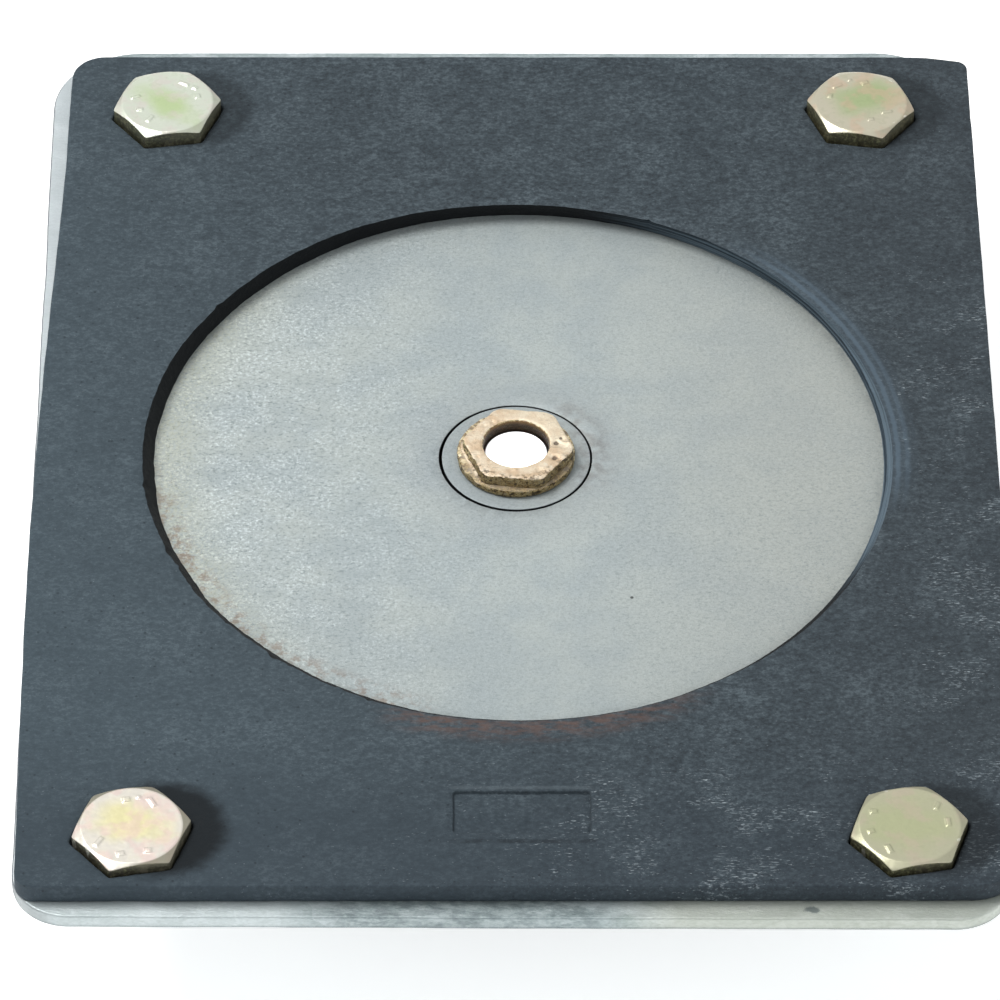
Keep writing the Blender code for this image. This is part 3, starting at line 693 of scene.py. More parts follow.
def bolt_piece(corner, centre_x, centre_y, turn, seed):
    low, high = box_mm("bolt_" + corner)
    end, top = float(low[2]), float(high[2])
    face = top - FACE_DROP
    degrees = [360.0 * i / BOLT_SIDES for i in range(BOLT_SIDES)]
    angles = [math.radians(p + turn) for p in degrees]
    rings = []

    def ring(radii, heights):
        rings.append([(centre_x + r * math.cos(a), centre_y + r * math.sin(a), z)
                      for r, z, a in zip(np.broadcast_to(radii, BOLT_SIDES),
                                         np.broadcast_to(heights, BOLT_SIDES), angles)])

    def face_z(radius, angle):
        x, y = radius * math.cos(angle), radius * math.sin(angle)
        wave = (0.035 * noise3(x * 0.3 + seed, y * 0.3, 3.0)
                + 0.012 * noise3(x * 1.3, y * 1.3 + seed, 5.0))
        mark = 0.0
        for mark_radius, bearing, length, width, lean in MARKS[corner]:
            place = polar(mark_radius, bearing)
            if abs(x - place[0]) <= 2 and abs(y - place[1]) <= 2:
                mark = max(mark, box_field(x, y, place, length, width, soft=0.46, turn=lean))
        return min(top, face + wave + MARK_HEIGHT * mark)

    for r in [*np.linspace(0.35, 3.4, 7), *np.arange(3.55, 8.55, 0.15), 8.7, 8.88]:
        ring(r, [face_z(r, a) for a in angles])
    # chamfer: a cone that meets the hexagon's sides in arcs
    hexagon = np.array([soft_hex(BOLT_FLATS, p, 0.10) for p in degrees])
    for t in (0.0, 0.18, 0.4, 0.65, 0.88, 1.0):
        radii = FACE_RADIUS + (hexagon - 0.10 - FACE_RADIUS) * t
        edge_z = []
        for r, a in zip(radii, angles):
            wear = 0.05 * noise3(r * math.cos(a) * 0.8 + seed, r * math.sin(a) * 0.8, 2.0)
            edge_z.append(face - 0.06 - max(0.0, r - FACE_RADIUS) * CHAMFER_SLOPE + wear * t)
        ring(radii, edge_z)
    edge_z = np.array(edge_z)
    for drop, inset in ((0.10, 0.03), (0.24, 0.0)):
        ring(hexagon - inset, edge_z - drop)
    for t in (0.25, 0.5, 0.75):
        wave = np.array([0.03 * noise3(p * 0.11 + seed, t * 3, 1.0) for p in degrees])
        ring(hexagon + wave - 0.02, (edge_z - 0.24) * (1 - t) + (BOLT_SEAT + 0.5) * t)
    ring(hexagon, BOLT_SEAT + 0.3)
    ring(hexagon - 0.25, BOLT_SEAT + 0.04)
    ring(8.9, BOLT_SEAT)
    ring(6.5, BOLT_SEAT)
    ring(THREAD_RADIUS, BOLT_SEAT - 0.4)
    steps = int((THREAD_TOP - end) / 0.17)
    for k in range(steps + 1):
        z = THREAD_TOP + (end - THREAD_TOP) * k / steps
        fade = min(1.0, (THREAD_TOP - z) / 1.2)
        radii = []
        for p in degrees:
            phase = (z / THREAD_PITCH - (p / 360.0)) % 1.0
            depth = THREAD_DEPTH * (1 - min(1.0, abs(phase - 0.5) * 2 / 0.86))
            radii.append(min(THREAD_RADIUS - depth * fade, 5.0 + (z - end) * 1.1 + 0.05))
        ring(radii, z)
    ring(4.2, end + 0.02)

    points = [p for loop in rings for p in loop]
    faces = ring_faces(len(rings), BOLT_SIDES)
    top_centre = len(points)
    points += [(centre_x, centre_y, face), (centre_x, centre_y, end + 0.02)]
    last = (len(rings) - 1) * BOLT_SIDES
    for i in range(BOLT_SIDES):
        j = (i + 1) % BOLT_SIDES
        faces.append((top_centre, j, i))
        faces.append((top_centre + 1, last + i, last + j))
    return make("bolt_zinc_" + corner, points, faces, "housing", "yellow_zinc", "bolt_" + corner,
                sharp=34)


KEEPER_SIDES, KEEPER_RADIUS = 144, 8.6
TONGUE_RADIUS, TONGUE_GAP = 6.35, 0.75


def keeper_piece(corner, x, y):
    """A push-on spring washer with six small tongues round the thread."""
    low, top = box_mm("bolt_keeper_" + corner)[0][2], PLATE_LOW - 0.03
    inner = []
    for k in range(KEEPER_SIDES):
        angle = 2 * math.pi * k / KEEPER_SIDES
        radius = TONGUE_RADIUS + (0.0 if k % 24 < 14 else TONGUE_GAP)
        inner.append((x + radius * math.cos(angle), y + radius * math.sin(angle)))
    inner = np.array(inner)
    outer = circle(KEEPER_RADIUS, KEEPER_SIDES, (x, y))
    faces = slab([inset_levels(outer, round_edge(low, top, 0.45, 0.2, 4)),
                  [(low, inner), (top, inner)]])
    return make("keeper_spring_" + corner, *faces, "housing", "spring_steel",
                "bolt_keeper_" + corner, sharp=32)


# ================================================================ pot, weld, poles, shaft

POT_PROFILE = (
    [(68.0, 0.5)] + arc(68.5, 0.5, 0.5, 180, 270, 4)[1:]
    + [(72.6, 0.0)] + arc(72.6, 1.4, 1.4, 270, 360, 6)[1:]
    + [(74.0, 11.0), (74.0, 19.0)] + arc(75.2, 20.2, 1.2, 180, 135, 3)[1:]
    + [(78.9, 25.2)] + arc(78.1, 26.6, 1.4, -40, 0, 4)
    + [(79.5, 30.4)] + arc(80.1, 30.4, 0.6, 180, 90, 4)[1:]
    + [(83.4, 31.0)] + arc(83.4, 31.6, 0.6, 270, 360, 4)[1:]
    + [(84.0, 34.7), (71.8, 34.7), (71.8, 33.2), (69.2, 33.2), (69.2, 34.7), (68.0, 34.7)])
SCREW_HOLE_Z = (27.5, 36.0)


def pot_piece():
    obj = turned("pot_painted", POT_PROFILE, 168, "housing", "pot_paint", "pot_housing", sharp=32)
    drills = bmesh.new()
    low, top = SCREW_HOLE_Z
    for x, y in SCREW_PLACES:
        made = bmesh.ops.create_cone(drills, cap_ends=True, segments=SCREW_HOLE_SIDES,
                                     radius1=SCREW_HOLE_RADIUS * MM,
                                     radius2=SCREW_HOLE_RADIUS * MM, depth=(top - low) * MM)
        bmesh.ops.translate(drills, vec=Vector((x, y, (low + top) / 2)) * MM, verts=made["verts"])
    bmesh.ops.recalc_face_normals(drills, faces=drills.faces)
    return cut(obj, drills, "pot_tool", sharp=32)


WELD_STEPS, WELD_ARC_POINTS, WELD_RIPPLES = 640, 9, 96
WELD_ROOT = (84.05, 34.85)                   # radius, z


def weld_piece():
    """A hand-laid fillet, rippled along its length."""
    root, top = WELD_ROOT
    rings = []
    for i in range(WELD_STEPS):
        angle = 2 * math.pi * i / WELD_STEPS
        cos, sin = math.cos(angle), math.sin(angle)
        phase = ripple(cos, sin, ((0.5, 3, 1.0),),
                       base=angle / (2 * math.pi) * WELD_RIPPLES) % 1.0
        bead = ripple(cos, sin, ((0.10, 14, 4.0),), base=0.16 * (1 - (2 * phase - 1) ** 2))
        size = min(ripple(cos, sin, ((0.15, 4, 8.0),), base=2.05 + bead - 0.12), 2.28)
        section = [WELD_ROOT]
        for k in range(WELD_ARC_POINTS):
            t = math.pi / 2 * k / (WELD_ARC_POINTS - 1)
            bulge = 0.18 * math.sin(2 * t)
            section.append((root + (size + bulge * size * 0.3) * math.cos(t) * 0.98,
                            top - (size * 1.25 + bulge * size * 0.3) * math.sin(t)))
        rings.append([(r * cos, r * sin, z) for r, z in section])
    return looped("weld_rippled", rings, "housing", "weld_steel", "weld_bead", sharp=50)


SHOE_PROFILE = [(0.0, 0.55), (0.08, 0.30), (0.25, 0.10), (0.5, 0.0), (9.7, 0.0), (10.0, 0.3)]
SPACER_RADIUS, SPACER_BORE = 67.85, 12.9
# the spacer's edges: z, inset
SPACER_RIM = [(0.02, 0.25), (0.25, 0.0), (17.8, 0.0), (18.0, 0.2)]
SPACER_BORE_EDGE = [(0.02, 0.3), (0.32, 0.0), (17.8, 0.0), (18.0, 0.2)]
SPACER_WINDOW_EDGE = [(0.02, 0.10), (0.14, 0.0), (18.0, 0.0)]


def sector_loop(middle, inset, inner, outer):
    """A sixth of a ring, its straight sides moved in by inset."""
    loop = []
    for radius, way, steps in ((outer, 1, 40), (inner, -1, 12)):
        half = 30.0 - math.degrees(math.asin(inset / radius))
        loop += [polar(radius, middle - way * half + way * 2 * half * k / steps)
                 for k in range(steps + 1)]
    return np.array(loop)


def pole_pieces():
    made = []
    bounds = [inset_levels(circle(SPACER_RADIUS, 192), SPACER_RIM),
              inset_levels(circle(SPACER_BORE, 72), SPACER_BORE_EDGE, hole=True)]
    for i in range(6):
        window = sector_loop(60.0 * i, inset=2.5, inner=20.0, outer=62.3)
        bounds.append(inset_levels(window, SPACER_WINDOW_EDGE, hole=True))
        pole = "%s_%d" % ("north" if i % 2 == 0 else "south", i // 2 + 1)
        shoe = sector_loop(60.0 * i, inset=2.66, inner=20.14, outer=62.14)
        made.append(make("shoe_" + pole, *slab([inset_levels(shoe, SHOE_PROFILE)]), "housing",
                         "ground_steel", "pole_shoe_" + pole, sharp=24))
    made.append(make("spacer_brass_plate", *slab(bounds), "housing", "spacer_brass",
                     "pole_spacer", sharp=24))
    return made


SHAFT_PROFILE = (
    [(6.4, 1.5)] + arc(6.7, 1.5, 0.3, 180, 270, 3)[1:]
    + [(8.9, 1.2), (9.4, 1.7), (9.4, 2.3), (8.5, 2.3), (8.5, 3.9), (9.4, 3.9), (9.4, 20.2),
       (14.0, 20.2), (14.2, 20.4), (14.2, 25.7), (14.0, 25.9), (10.0, 25.9), (10.0, 37.9),
       (8.4, 37.9), (8.4, 33.2), (6.4, 33.2)])
KEYWAY_SIZE, KEYWAY_CENTRE = (3.4, 4.6, 6.0), (10.0, 0.0, 29.3)


def shaft_piece():
    obj = turned("shaft_ground", SHAFT_PROFILE, 128, "rotor", "ground_steel", "hollow_shaft",
                 sharp=28)
    key = bmesh.new()
    verts = bmesh.ops.create_cube(key, size=1.0)["verts"]
    bmesh.ops.scale(key, vec=tuple(size * MM for size in KEYWAY_SIZE), verts=verts)
    bmesh.ops.translate(key, vec=Vector(KEYWAY_CENTRE) * MM, verts=verts)
    return cut(obj, key, "key_tool", sharp=28)


CIRCLIP_START, CIRCLIP_END, CIRCLIP_STEPS = 100.0, 440.0, 110
CIRCLIP_OUTER, CIRCLIP_INNER, LUG_HEIGHT = 11.1, 8.75, 1.25


def circlip_piece():
    sweep = CIRCLIP_END - CIRCLIP_START
    angles = [CIRCLIP_START + sweep * k / CIRCLIP_STEPS for k in range(CIRCLIP_STEPS + 1)]
    loop = []
    for degrees in angles:
        lug = max(0.0, 1.0 - min(degrees - CIRCLIP_START, CIRCLIP_END - degrees) / 9.0)
        loop.append(polar(CIRCLIP_OUTER + LUG_HEIGHT * ease(lug) ** 0.5, degrees))
    loop += [polar(CIRCLIP_INNER, degrees) for degrees in reversed(angles)]
    faces = slab([inset_levels(np.array(loop), chamfered(2.6, 3.6, 0.12))])
    return make("circlip_spring", *faces, "rotor", "spring_steel", "shaft_circlip", sharp=30)


# ================================================================ material tools

def rgb(*values):
    """Linear colour from sRGB values of 0 to 255."""
    def linear(value):
        value /= 255.0
        return value / 12.92 if value <= 0.04045 else ((value + 0.055) / 1.055) ** 2.4
    return tuple(linear(value) for value in values)


def times_colour(colour, factor):
    return tuple(min(1.0, factor * part) for part in colour)


class Material:
    """Builds a material's nodes; base is its colour so far, lengths are in mm."""

    INPUTS = {"rough": "Roughness", "metal": "Metallic", "normal": "Normal",
              "spec": "Specular IOR Level", "emit": "Emission Color",
              "emit_strength": "Emission Strength", "sheen": "Sheen Weight",
              "sheen_rough": "Sheen Roughness", "sss": "Subsurface Weight",
              "sss_scale": "Subsurface Scale"}

    def __init__(self, name):
        self.material = bpy.data.materials.new(name)
        self.material.use_nodes = True
        self.tree = self.material.node_tree
        self.tree.nodes.clear()
        self.out = self.add("OutputMaterial")
        self.bsdf = self.add("BsdfPrincipled")
        self.put(self.out.inputs[0], self.bsdf.outputs[0])
        self.coord = self.add("TexCoord").outputs["Object"]
        self.base = None

    def add(self, kind, **props):
        node = self.tree.nodes.new("ShaderNode" + kind)
        for key, value in props.items():
            setattr(node, key, value)
        return node

    def put(self, socket, value):
        """Links a socket, or sets a plain value."""
        if isinstance(value, bpy.types.NodeSocket):
            self.tree.links.new(value, socket)
            return
        if isinstance(value, tuple) and len(value) == 3 and socket.type == "RGBA":
            value = (*value, 1.0)
        socket.default_value = value

    def mapped(self, scale, shift=(0, 0, 0), turn=0.0):
        """Object coordinates in mm times scale, one number or three."""
        scales = scale if isinstance(scale, tuple) else (scale,) * 3
        node = self.add("Mapping")
        node.inputs["Scale"].default_value = tuple(part * 1000 for part in scales)
        node.inputs["Location"].default_value = shift
        node.inputs["Rotation"].default_value = (0, 0, math.radians(turn))
        self.put(node.inputs["Vector"], self.coord)
        return node.outputs[0]

    def noise(self, scale, detail=4.0, rough=0.55, **mapping):
        vector = self.mapped(scale, **mapping)
        node = self.add("TexNoise")
        node.inputs["Scale"].default_value = 1.0
        node.inputs["Detail"].default_value = detail
        node.inputs["Roughness"].default_value = rough
        self.put(node.inputs["Vector"], vector)
        return node.outputs["Fac"]

    def cells(self, scale, out="Distance", **mapping):
        vector = self.mapped(scale, **mapping)
        node = self.add("TexVoronoi")
        node.inputs["Scale"].default_value = 1.0
        self.put(node.inputs["Vector"], vector)
        return node.outputs[out]

    def ramp(self, value, stops):
        node = self.add("ValToRGB")
        elements = node.color_ramp.elements
        elements.remove(elements[-1])
        for k, (position, colour) in enumerate(stops):
            element = elements.new(position) if k else elements[0]
            element.position = position
            element.color = (*colour, 1.0)
        self.put(node.inputs[0], value)
        return node.outputs[0]

    def math(self, operation, *values, clamp=False):
        node = self.add("Math", operation=operation, use_clamp=clamp)
        for socket, value in zip(node.inputs, values):
            self.put(socket, value)
        return node.outputs[0]

    def times(self, first, *others, clamp=False):
        for other in others:
            first = self.math("MULTIPLY", first, other, clamp=clamp)
        return first

    def plus(self, a, b):
        return self.math("ADD", a, b)

    def minus(self, a, b):
        return self.math("SUBTRACT", a, b)

    def size(self, a):
        return self.math("ABSOLUTE", a)

    def span(self, value, start, end, low=0.0, high=1.0):
        """Goes smoothly from low, where value is start, to high at end."""
        node = self.add("MapRange", interpolation_type="SMOOTHSTEP")
        self.put(node.inputs["Value"], value)
        for key, limit in (("From Min", start), ("From Max", end), ("To Min", low),
                           ("To Max", high)):
            node.inputs[key].default_value = limit
        return node.outputs[0]

    def mix(self, share, first, second):
        node = self.add("Mix", data_type="RGBA", blend_type="MIX")
        for k, value in ((0, share), (6, first), (7, second)):
            self.put(node.inputs[k], value)
        return node.outputs[2]

    def layer(self, mask, colour, amount=None):
        """Lays colour over the base where mask is 1."""
        if amount is not None:
            mask = self.times(mask, amount)
        self.base = self.mix(mask, self.base, colour)

    def xyz(self):
        vector = self.mapped(1.0)
        node = self.add("SeparateXYZ")
        self.put(node.inputs[0], vector)
        return node.outputs[0], node.outputs[1], node.outputs[2]

    def radius(self, centre_x=0.0, centre_y=0.0):
        """Distance from a vertical line."""
        x, y, _ = self.xyz()
        x, y = self.minus(x, centre_x), self.minus(y, centre_y)
        return self.math("SQRT", self.plus(self.times(x, x), self.times(y, y)))

    def bump(self, height, distance, strength):
        node = self.add("Bump")
        node.inputs["Strength"].default_value = strength
        node.inputs["Distance"].default_value = distance * MM
        self.put(node.inputs["Height"], height)
        return node.outputs[0]

    def pointiness(self):
        return self.add("NewGeometry").outputs["Pointiness"]

    def normal_z(self):
        geometry = self.add("NewGeometry")
        node = self.add("SeparateXYZ")
        self.put(node.inputs[0], geometry.outputs["Normal"])
        return node.outputs[2]

    def finish(self, **values):
        self.put(self.bsdf.inputs["Base Color"], self.base)
        for key, value in values.items():
            self.put(self.bsdf.inputs[self.INPUTS[key]], value)
        return self.material


# ================================================================ materials

# how dark the painted shadow beside each bolt head is
BOLT_SHADOW_DARKNESS = {"front_left": 0.90, "front_right": 0.62, "rear_left": 0.50, "rear_right": 0.45}


def pad_rubber():
    mat = Material("pad_rubber")
    times, plus, minus, span, layer = mat.times, mat.plus, mat.minus, mat.span, mat.layer
    x, y, _ = mat.xyz()
    patch = mat.noise(0.07, shift=(1, 7, 0), detail=5, rough=0.6)
    mottle = mat.noise((0.30, 0.42, 0.4), shift=(8, 2, 0), detail=5, rough=0.68)
    fine = mat.noise((1.1, 1.5, 1.2), detail=6, rough=0.72)
    grit = mat.noise(3.2, detail=3, rough=0.6)
    tone = plus(times(patch, 0.14), plus(times(mottle, 0.20), times(fine, 0.66)))
    mat.base = mat.ramp(tone, [(0.38, rgb(42, 49, 54)), (0.50, rgb(60, 69, 75)),
                               (0.61, rgb(82, 93, 99))])
    # bluer on the left, darker on the right and in front
    left = span(plus(times(x, -1.0), times(y, -0.35)), start=-20, end=110)
    layer(left, rgb(77, 92, 101), amount=0.42)
    layer(span(x, start=30, end=92), rgb(50, 54, 58), amount=0.30)
    layer(span(y, start=-72, end=-104), rgb(44, 53, 61), amount=0.44)
    # dusty bloom
    bloom = times(span(patch, start=0.48, end=0.66), span(fine, start=0.46, end=0.62))
    layer(bloom, rgb(104, 115, 122), amount=0.14)
    # whitish dashes lying along X, most on the right and in front
    right = times(span(x, start=50, end=84), span(y, start=68, end=30))
    front = times(span(y, start=-56, end=-96), span(x, start=-70, end=40))
    where = mat.math("MAXIMUM", right, front)
    clump = span(mat.noise((0.085, 0.12, 0.1), shift=(5, 1, 0), detail=3, rough=0.6),
                 start=0.44, end=0.62)
    dash = mat.noise((0.95, 2.9, 1.5), shift=(9, 3, 0), detail=4, rough=0.62)
    bright = mat.noise((0.62, 2.3, 1.5), shift=(2, 6, 0), detail=3, rough=0.6)
    amount = times(where, plus(0.35, times(clump, 0.65)))
    # noise, threshold, its drop with the amount, steepness, colour, strength
    for marks, level, drop, steep, colour, strength in (
            (dash, 0.70, 0.165, 12.0, rgb(122, 132, 138), 0.62),
            (bright, 0.77, 0.145, 18.0, rgb(166, 177, 182), 0.66)):
        threshold = minus(level, times(amount, drop))
        layer(times(minus(marks, threshold), steep, clamp=True), colour, amount=strength)
    # pale dots and dark specks
    dots = times(span(mat.cells(0.9), start=0.16, end=0.07),
                 span(mat.noise(0.33, shift=(5, 5, 5), detail=2), start=0.50, end=0.62))
    layer(dots, rgb(128, 139, 146), amount=0.34)
    specks = span(mat.cells(0.42, shift=(3, 1, 0)), start=0.15, end=0.05)
    layer(specks, rgb(26, 31, 36), amount=0.5)
    # painted shadows, cast to the right of each bolt head
    for corner, (bolt_x, bolt_y, _) in BOLTS.items():
        apart = plus(mat.radius(bolt_x + 5.6, bolt_y + 0.9), times(mottle, 3.0))
        layer(span(apart, start=14.6, end=10.6), rgb(19, 23, 26), amount=BOLT_SHADOW_DARKNESS[corner])
    # rust washed over the window's front rim
    radius = mat.radius(*RIM_CENTRE)
    rust = times(span(radius, start=69.4, end=70.6), span(radius, start=76.5, end=71.4))
    rust = times(rust, times(span(x, start=-28, end=-17), span(x, start=38, end=20)))
    rust = times(rust, span(y, start=-60, end=-66))
    streaks = mat.noise((0.22, 0.7, 0.5), shift=(2, 2, 0), detail=5, rough=0.65)
    rust = times(rust, span(streaks, start=0.36, end=0.62))
    layer(rust, rgb(104, 80, 70), amount=0.62)
    # a painted bluish sheen with faint ridges beside the window's right rim
    sheen = times(times(span(radius, start=76.5, end=72.0), span(x, start=34, end=52)),
                  times(span(y, start=-22, end=-4), span(y, start=62, end=44)))
    ridges = span(mat.math("SINE", plus(times(radius, 3.4), times(mottle, 3.0))),
                  start=-0.8, end=0.9)
    layer(sheen, rgb(88, 104, 117), amount=plus(0.25, times(ridges, 0.45)))
    # the window's wall: painted shade, near black, with a painted lit band on the right
    normal_z = mat.normal_z()
    wall_shade = times(mat.math("LESS_THAN", radius, 72.4), span(normal_z, start=0.94, end=0.78))
    lit_band = times(span(x, start=12, end=40), span(y, start=-42, end=-22))
    bands = span(mat.noise((0.02, 0.02, 1.5), detail=3, rough=0.6), start=0.42, end=0.58)
    wall_shade_and_light = mat.mix(lit_band, rgb(9, 11, 14), mat.mix(bands, rgb(38, 50, 60), rgb(96, 112, 124)))
    layer(wall_shade, wall_shade_and_light, amount=0.96)
    # painted shade on the panel's slopes, a darker line in front of it and a pale line behind it
    panel = times(mat.math("LESS_THAN", mat.size(minus(x, 0.5)), 13.0),
                  mat.math("LESS_THAN", mat.size(plus(y, 95.0)), 6.0))
    layer(times(panel, span(normal_z, start=0.97, end=0.80)), rgb(28, 33, 37), amount=0.18)
    under = times(span(mat.size(plus(y, 102.0)), start=0.75, end=0.2),
                  span(mat.size(minus(x, 0.4)), start=13.6, end=12.4))
    layer(under, rgb(28, 33, 38),
          amount=span(mottle, start=0.38, end=0.56, low=0.15, high=0.62))
    over = times(span(mat.size(plus(y, 89.1)), start=0.6, end=0.15),
                 span(mat.size(minus(x, 0.4)), start=13.2, end=12.0))
    layer(over, rgb(98, 108, 114), amount=0.28)
    # edges go paler: wear, with a painted edge highlight
    worn = times(span(mat.pointiness(), start=0.53, end=0.60), span(fine, start=0.35, end=0.65))
    layer(worn, rgb(100, 111, 118), amount=0.22)
    relief = plus(times(fine, 0.55), plus(times(grit, 0.25), times(mottle, 0.6)))
    return mat.finish(rough=span(fine, start=0.3, end=0.7, low=0.68, high=0.86), spec=0.16,
                      normal=mat.bump(relief, distance=0.34, strength=0.6),
                      sheen=0.02, sheen_rough=0.6)


def lid_steel(name, hub=False):
    """Zinc-bloomed steel for the lid; the hub ring has turning marks instead of scratches."""
    mat = Material(name)
    times, plus, minus, span, layer = mat.times, mat.plus, mat.minus, mat.span, mat.layer
    x, y, z = mat.xyz()
    speck = mat.noise((1.5, 1.7, 1.5), detail=6, rough=0.80)
    grain = mat.noise((2.2, 2.6, 2.2), detail=5, rough=0.75)
    patch = mat.noise(0.055, shift=(3, 3, 0), detail=5, rough=0.62)
    clump = mat.noise((0.16, 0.20, 0.2), shift=(6, 0, 0), detail=4, rough=0.65)
    mat.base = mat.mix(span(patch, start=0.36, end=0.64), rgb(166, 176, 178), rgb(178, 186, 184))
    # warmer on the right
    layer(span(x, start=0, end=66), rgb(168, 170, 163), amount=0.62)
    # bright zinc bloom, with a painted highlight that makes it strongest on the left
    left = span(x, start=6, end=-58)
    bloom = times(span(speck, start=0.48, end=0.60),
                  plus(0.16, times(left, span(clump, start=0.36, end=0.60))))
    layer(times(bloom, 0.80, clamp=True), rgb(224, 233, 234))
    # dull grey grains
    dull = mat.noise((1.0, 1.5, 1.0), shift=(7, 0, 0), detail=5, rough=0.75)
    some = plus(0.22, times(span(x, start=18, end=-52), 0.60))
    some = plus(some, times(span(x, start=4, end=26), span(y, start=14, end=-14), 0.25))
    layer(span(dull, start=0.52, end=0.62), rgb(120, 131, 130), amount=times(some, 0.80))
    layer(span(grain, start=0.47, end=0.62), rgb(122, 132, 132), amount=0.34)
    layer(span(mat.cells((0.6, 0.9, 1.0)), start=0.10, end=0.04), rgb(96, 103, 105), amount=0.35)
    # yellow tinge by the left rim, rust spots in the front left rim, darker clouds all round the
    # edge
    radius = mat.radius(0.5, 0.0)
    tinge = times(span(radius, start=55, end=68), span(x, start=-30, end=-62))
    layer(tinge, rgb(186, 184, 148), amount=times(span(speck, start=0.40, end=0.58), 0.40))
    rim = times(span(radius, start=63.0, end=67.6),
                times(span(plus(x, y), start=-62, end=-84), span(x, start=-10, end=-24)))
    spots = span(mat.noise(0.40, shift=(2, 8, 0), detail=5, rough=0.75), start=0.46, end=0.60)
    layer(times(rim, spots), rgb(128, 98, 74), amount=0.62)
    clouds = span(mat.noise(0.15, shift=(6, 8, 0), detail=4, rough=0.7), start=0.34, end=0.64)
    layer(times(span(radius, start=66.6, end=68.9), clouds), rgb(104, 108, 106), amount=0.30)
    # painted shade round the hub and a painted shadow of the nut on its right
    hub_radius = mat.radius()
    layer(span(hub_radius, start=27, end=15), rgb(138, 143, 150), amount=0.20)
    nut_shadow = times(times(span(hub_radius, start=11.0, end=12.5),
                         span(hub_radius, start=20.5, end=15.0)),
                   times(span(x, start=5, end=11), span(y, start=-12, end=-3)))
    clouds = span(mat.noise(0.34, shift=(3, 6, 0), detail=4, rough=0.6), start=0.38, end=0.64)
    layer(times(nut_shadow, clouds), rgb(112, 105, 100), amount=0.45)
    if hub:
        wave = plus(times(hub_radius, 15.0), times(mat.noise(0.5, detail=3), 3.0))
        layer(span(mat.math("SINE", wave), start=-0.4, end=1.0), rgb(136, 142, 146), amount=0.12)
    else:
        # a small pit and a thin scratch
        pit = span(mat.radius(21.1, -37.2), start=0.42, end=0.22)
        layer(pit, rgb(48, 50, 50), amount=0.9)
        across = plus(minus(x, -20.3), times(minus(y, -22.5), 0.62))
        scratch = times(span(mat.size(across), start=0.16, end=0.05),
                        times(span(y, start=-27.5, end=-25.5), span(y, start=-17.5, end=-19.5)))
        layer(scratch, rgb(120, 124, 124), amount=0.35)
    # painted shade, near black, in the gap between lid and hub
    gap_shade = times(span(z, start=37.93, end=37.84),
                times(span(hub_radius, start=13.4, end=13.7),
                      span(hub_radius, start=15.3, end=15.0)))
    layer(gap_shade, rgb(6, 9, 12))
    if not hub:
        # duller towards the front and the back
        layer(span(mat.size(y), start=26, end=58), rgb(148, 156, 156), amount=0.20)
    relief = plus(times(speck, 0.6), plus(times(grain, 0.3), times(dull, -0.35)))
    return mat.finish(rough=span(speck, start=0.35, end=0.65, low=0.42, high=0.62),
                      metal=times(minus(1.0, gap_shade), 0.30), spec=0.5,
                      normal=mat.bump(relief, distance=0.16, strength=0.5))


def galvanised_plate():
    mat = Material("galvanised_plate")
    times, plus, span, layer = mat.times, mat.plus, mat.span, mat.layer
    x, y, z = mat.xyz()
    spangle = mat.add("SeparateColor")
    mat.put(spangle.inputs[0], mat.cells(0.22, out="Color"))
    tone = spangle.outputs[0]
    fine = mat.noise((1.1, 2.4, 2.4), detail=6, rough=0.7)
    blotch = mat.noise((0.16, 0.4, 0.4), shift=(4, 1, 0), detail=5, rough=0.65)
    mat.base = mat.mix(tone, rgb(168, 182, 184), rgb(206, 216, 219))
    layer(span(blotch, start=0.42, end=0.60), rgb(138, 155, 155), amount=0.46)
    layer(span(fine, start=0.50, end=0.64), rgb(120, 133, 132), amount=0.36)
    layer(span(fine, start=0.48, end=0.34), rgb(222, 230, 233), amount=0.36)
    # a pale left margin with painted shade on its rounded outer edge
    layer(span(x, start=-84, end=-89), rgb(212, 219, 222), amount=0.75)
    outer = times(span(mat.normal_z(), start=0.995, end=0.85), span(x, start=-80, end=-86))
    layer(outer, rgb(92, 96, 102), amount=0.85)
    # the front: bright on the left, mottled grey in the middle, warmer on the right
    front = span(y, start=-108, end=-112)
    layer(front, rgb(196, 204, 204), amount=times(span(x, start=-30, end=-44), 0.55))
    middle = times(span(x, start=-44, end=-28), span(x, start=24, end=8), front)
    cloud = mat.noise((0.30, 0.55, 0.55), shift=(1, 9, 0), detail=5, rough=0.7)
    mottled = mat.ramp(cloud, [(0.40, rgb(98, 110, 112)), (0.50, rgb(128, 141, 142)),
                               (0.60, rgb(160, 171, 172))])
    layer(middle, mottled, amount=0.72)
    layer(front, rgb(182, 186, 173), amount=times(span(x, start=12, end=30), 0.72))
    # the front edge's lower rim carries painted shade, with a knock towards its right end
    rim = times(span(z, start=36.1, end=35.3), span(y, start=-110, end=-115))
    layer(rim, rgb(100, 112, 114), amount=0.60)
    knock = mat.add("VectorMath", operation="DISTANCE")
    mat.put(knock.inputs[0], mat.mapped((1.0, 1.7, 1.3)))
    knock.inputs[1].default_value = (51.2, -114.6 * 1.7, 38.0 * 1.3)
    ragged = mat.noise(0.9, shift=(2, 2, 0), detail=4, rough=0.7)
    apart = plus(knock.outputs["Value"], times(ragged, 3.0))
    layer(span(apart, start=3.3, end=2.2), rgb(84, 96, 98), amount=0.75)
    relief = plus(times(fine, 0.6), plus(times(blotch, 0.8), times(tone, 0.15)))
    return mat.finish(rough=span(fine, start=0.35, end=0.65, low=0.34, high=0.55), metal=0.45,
                      normal=mat.bump(relief, distance=0.24, strength=0.55), spec=0.5)


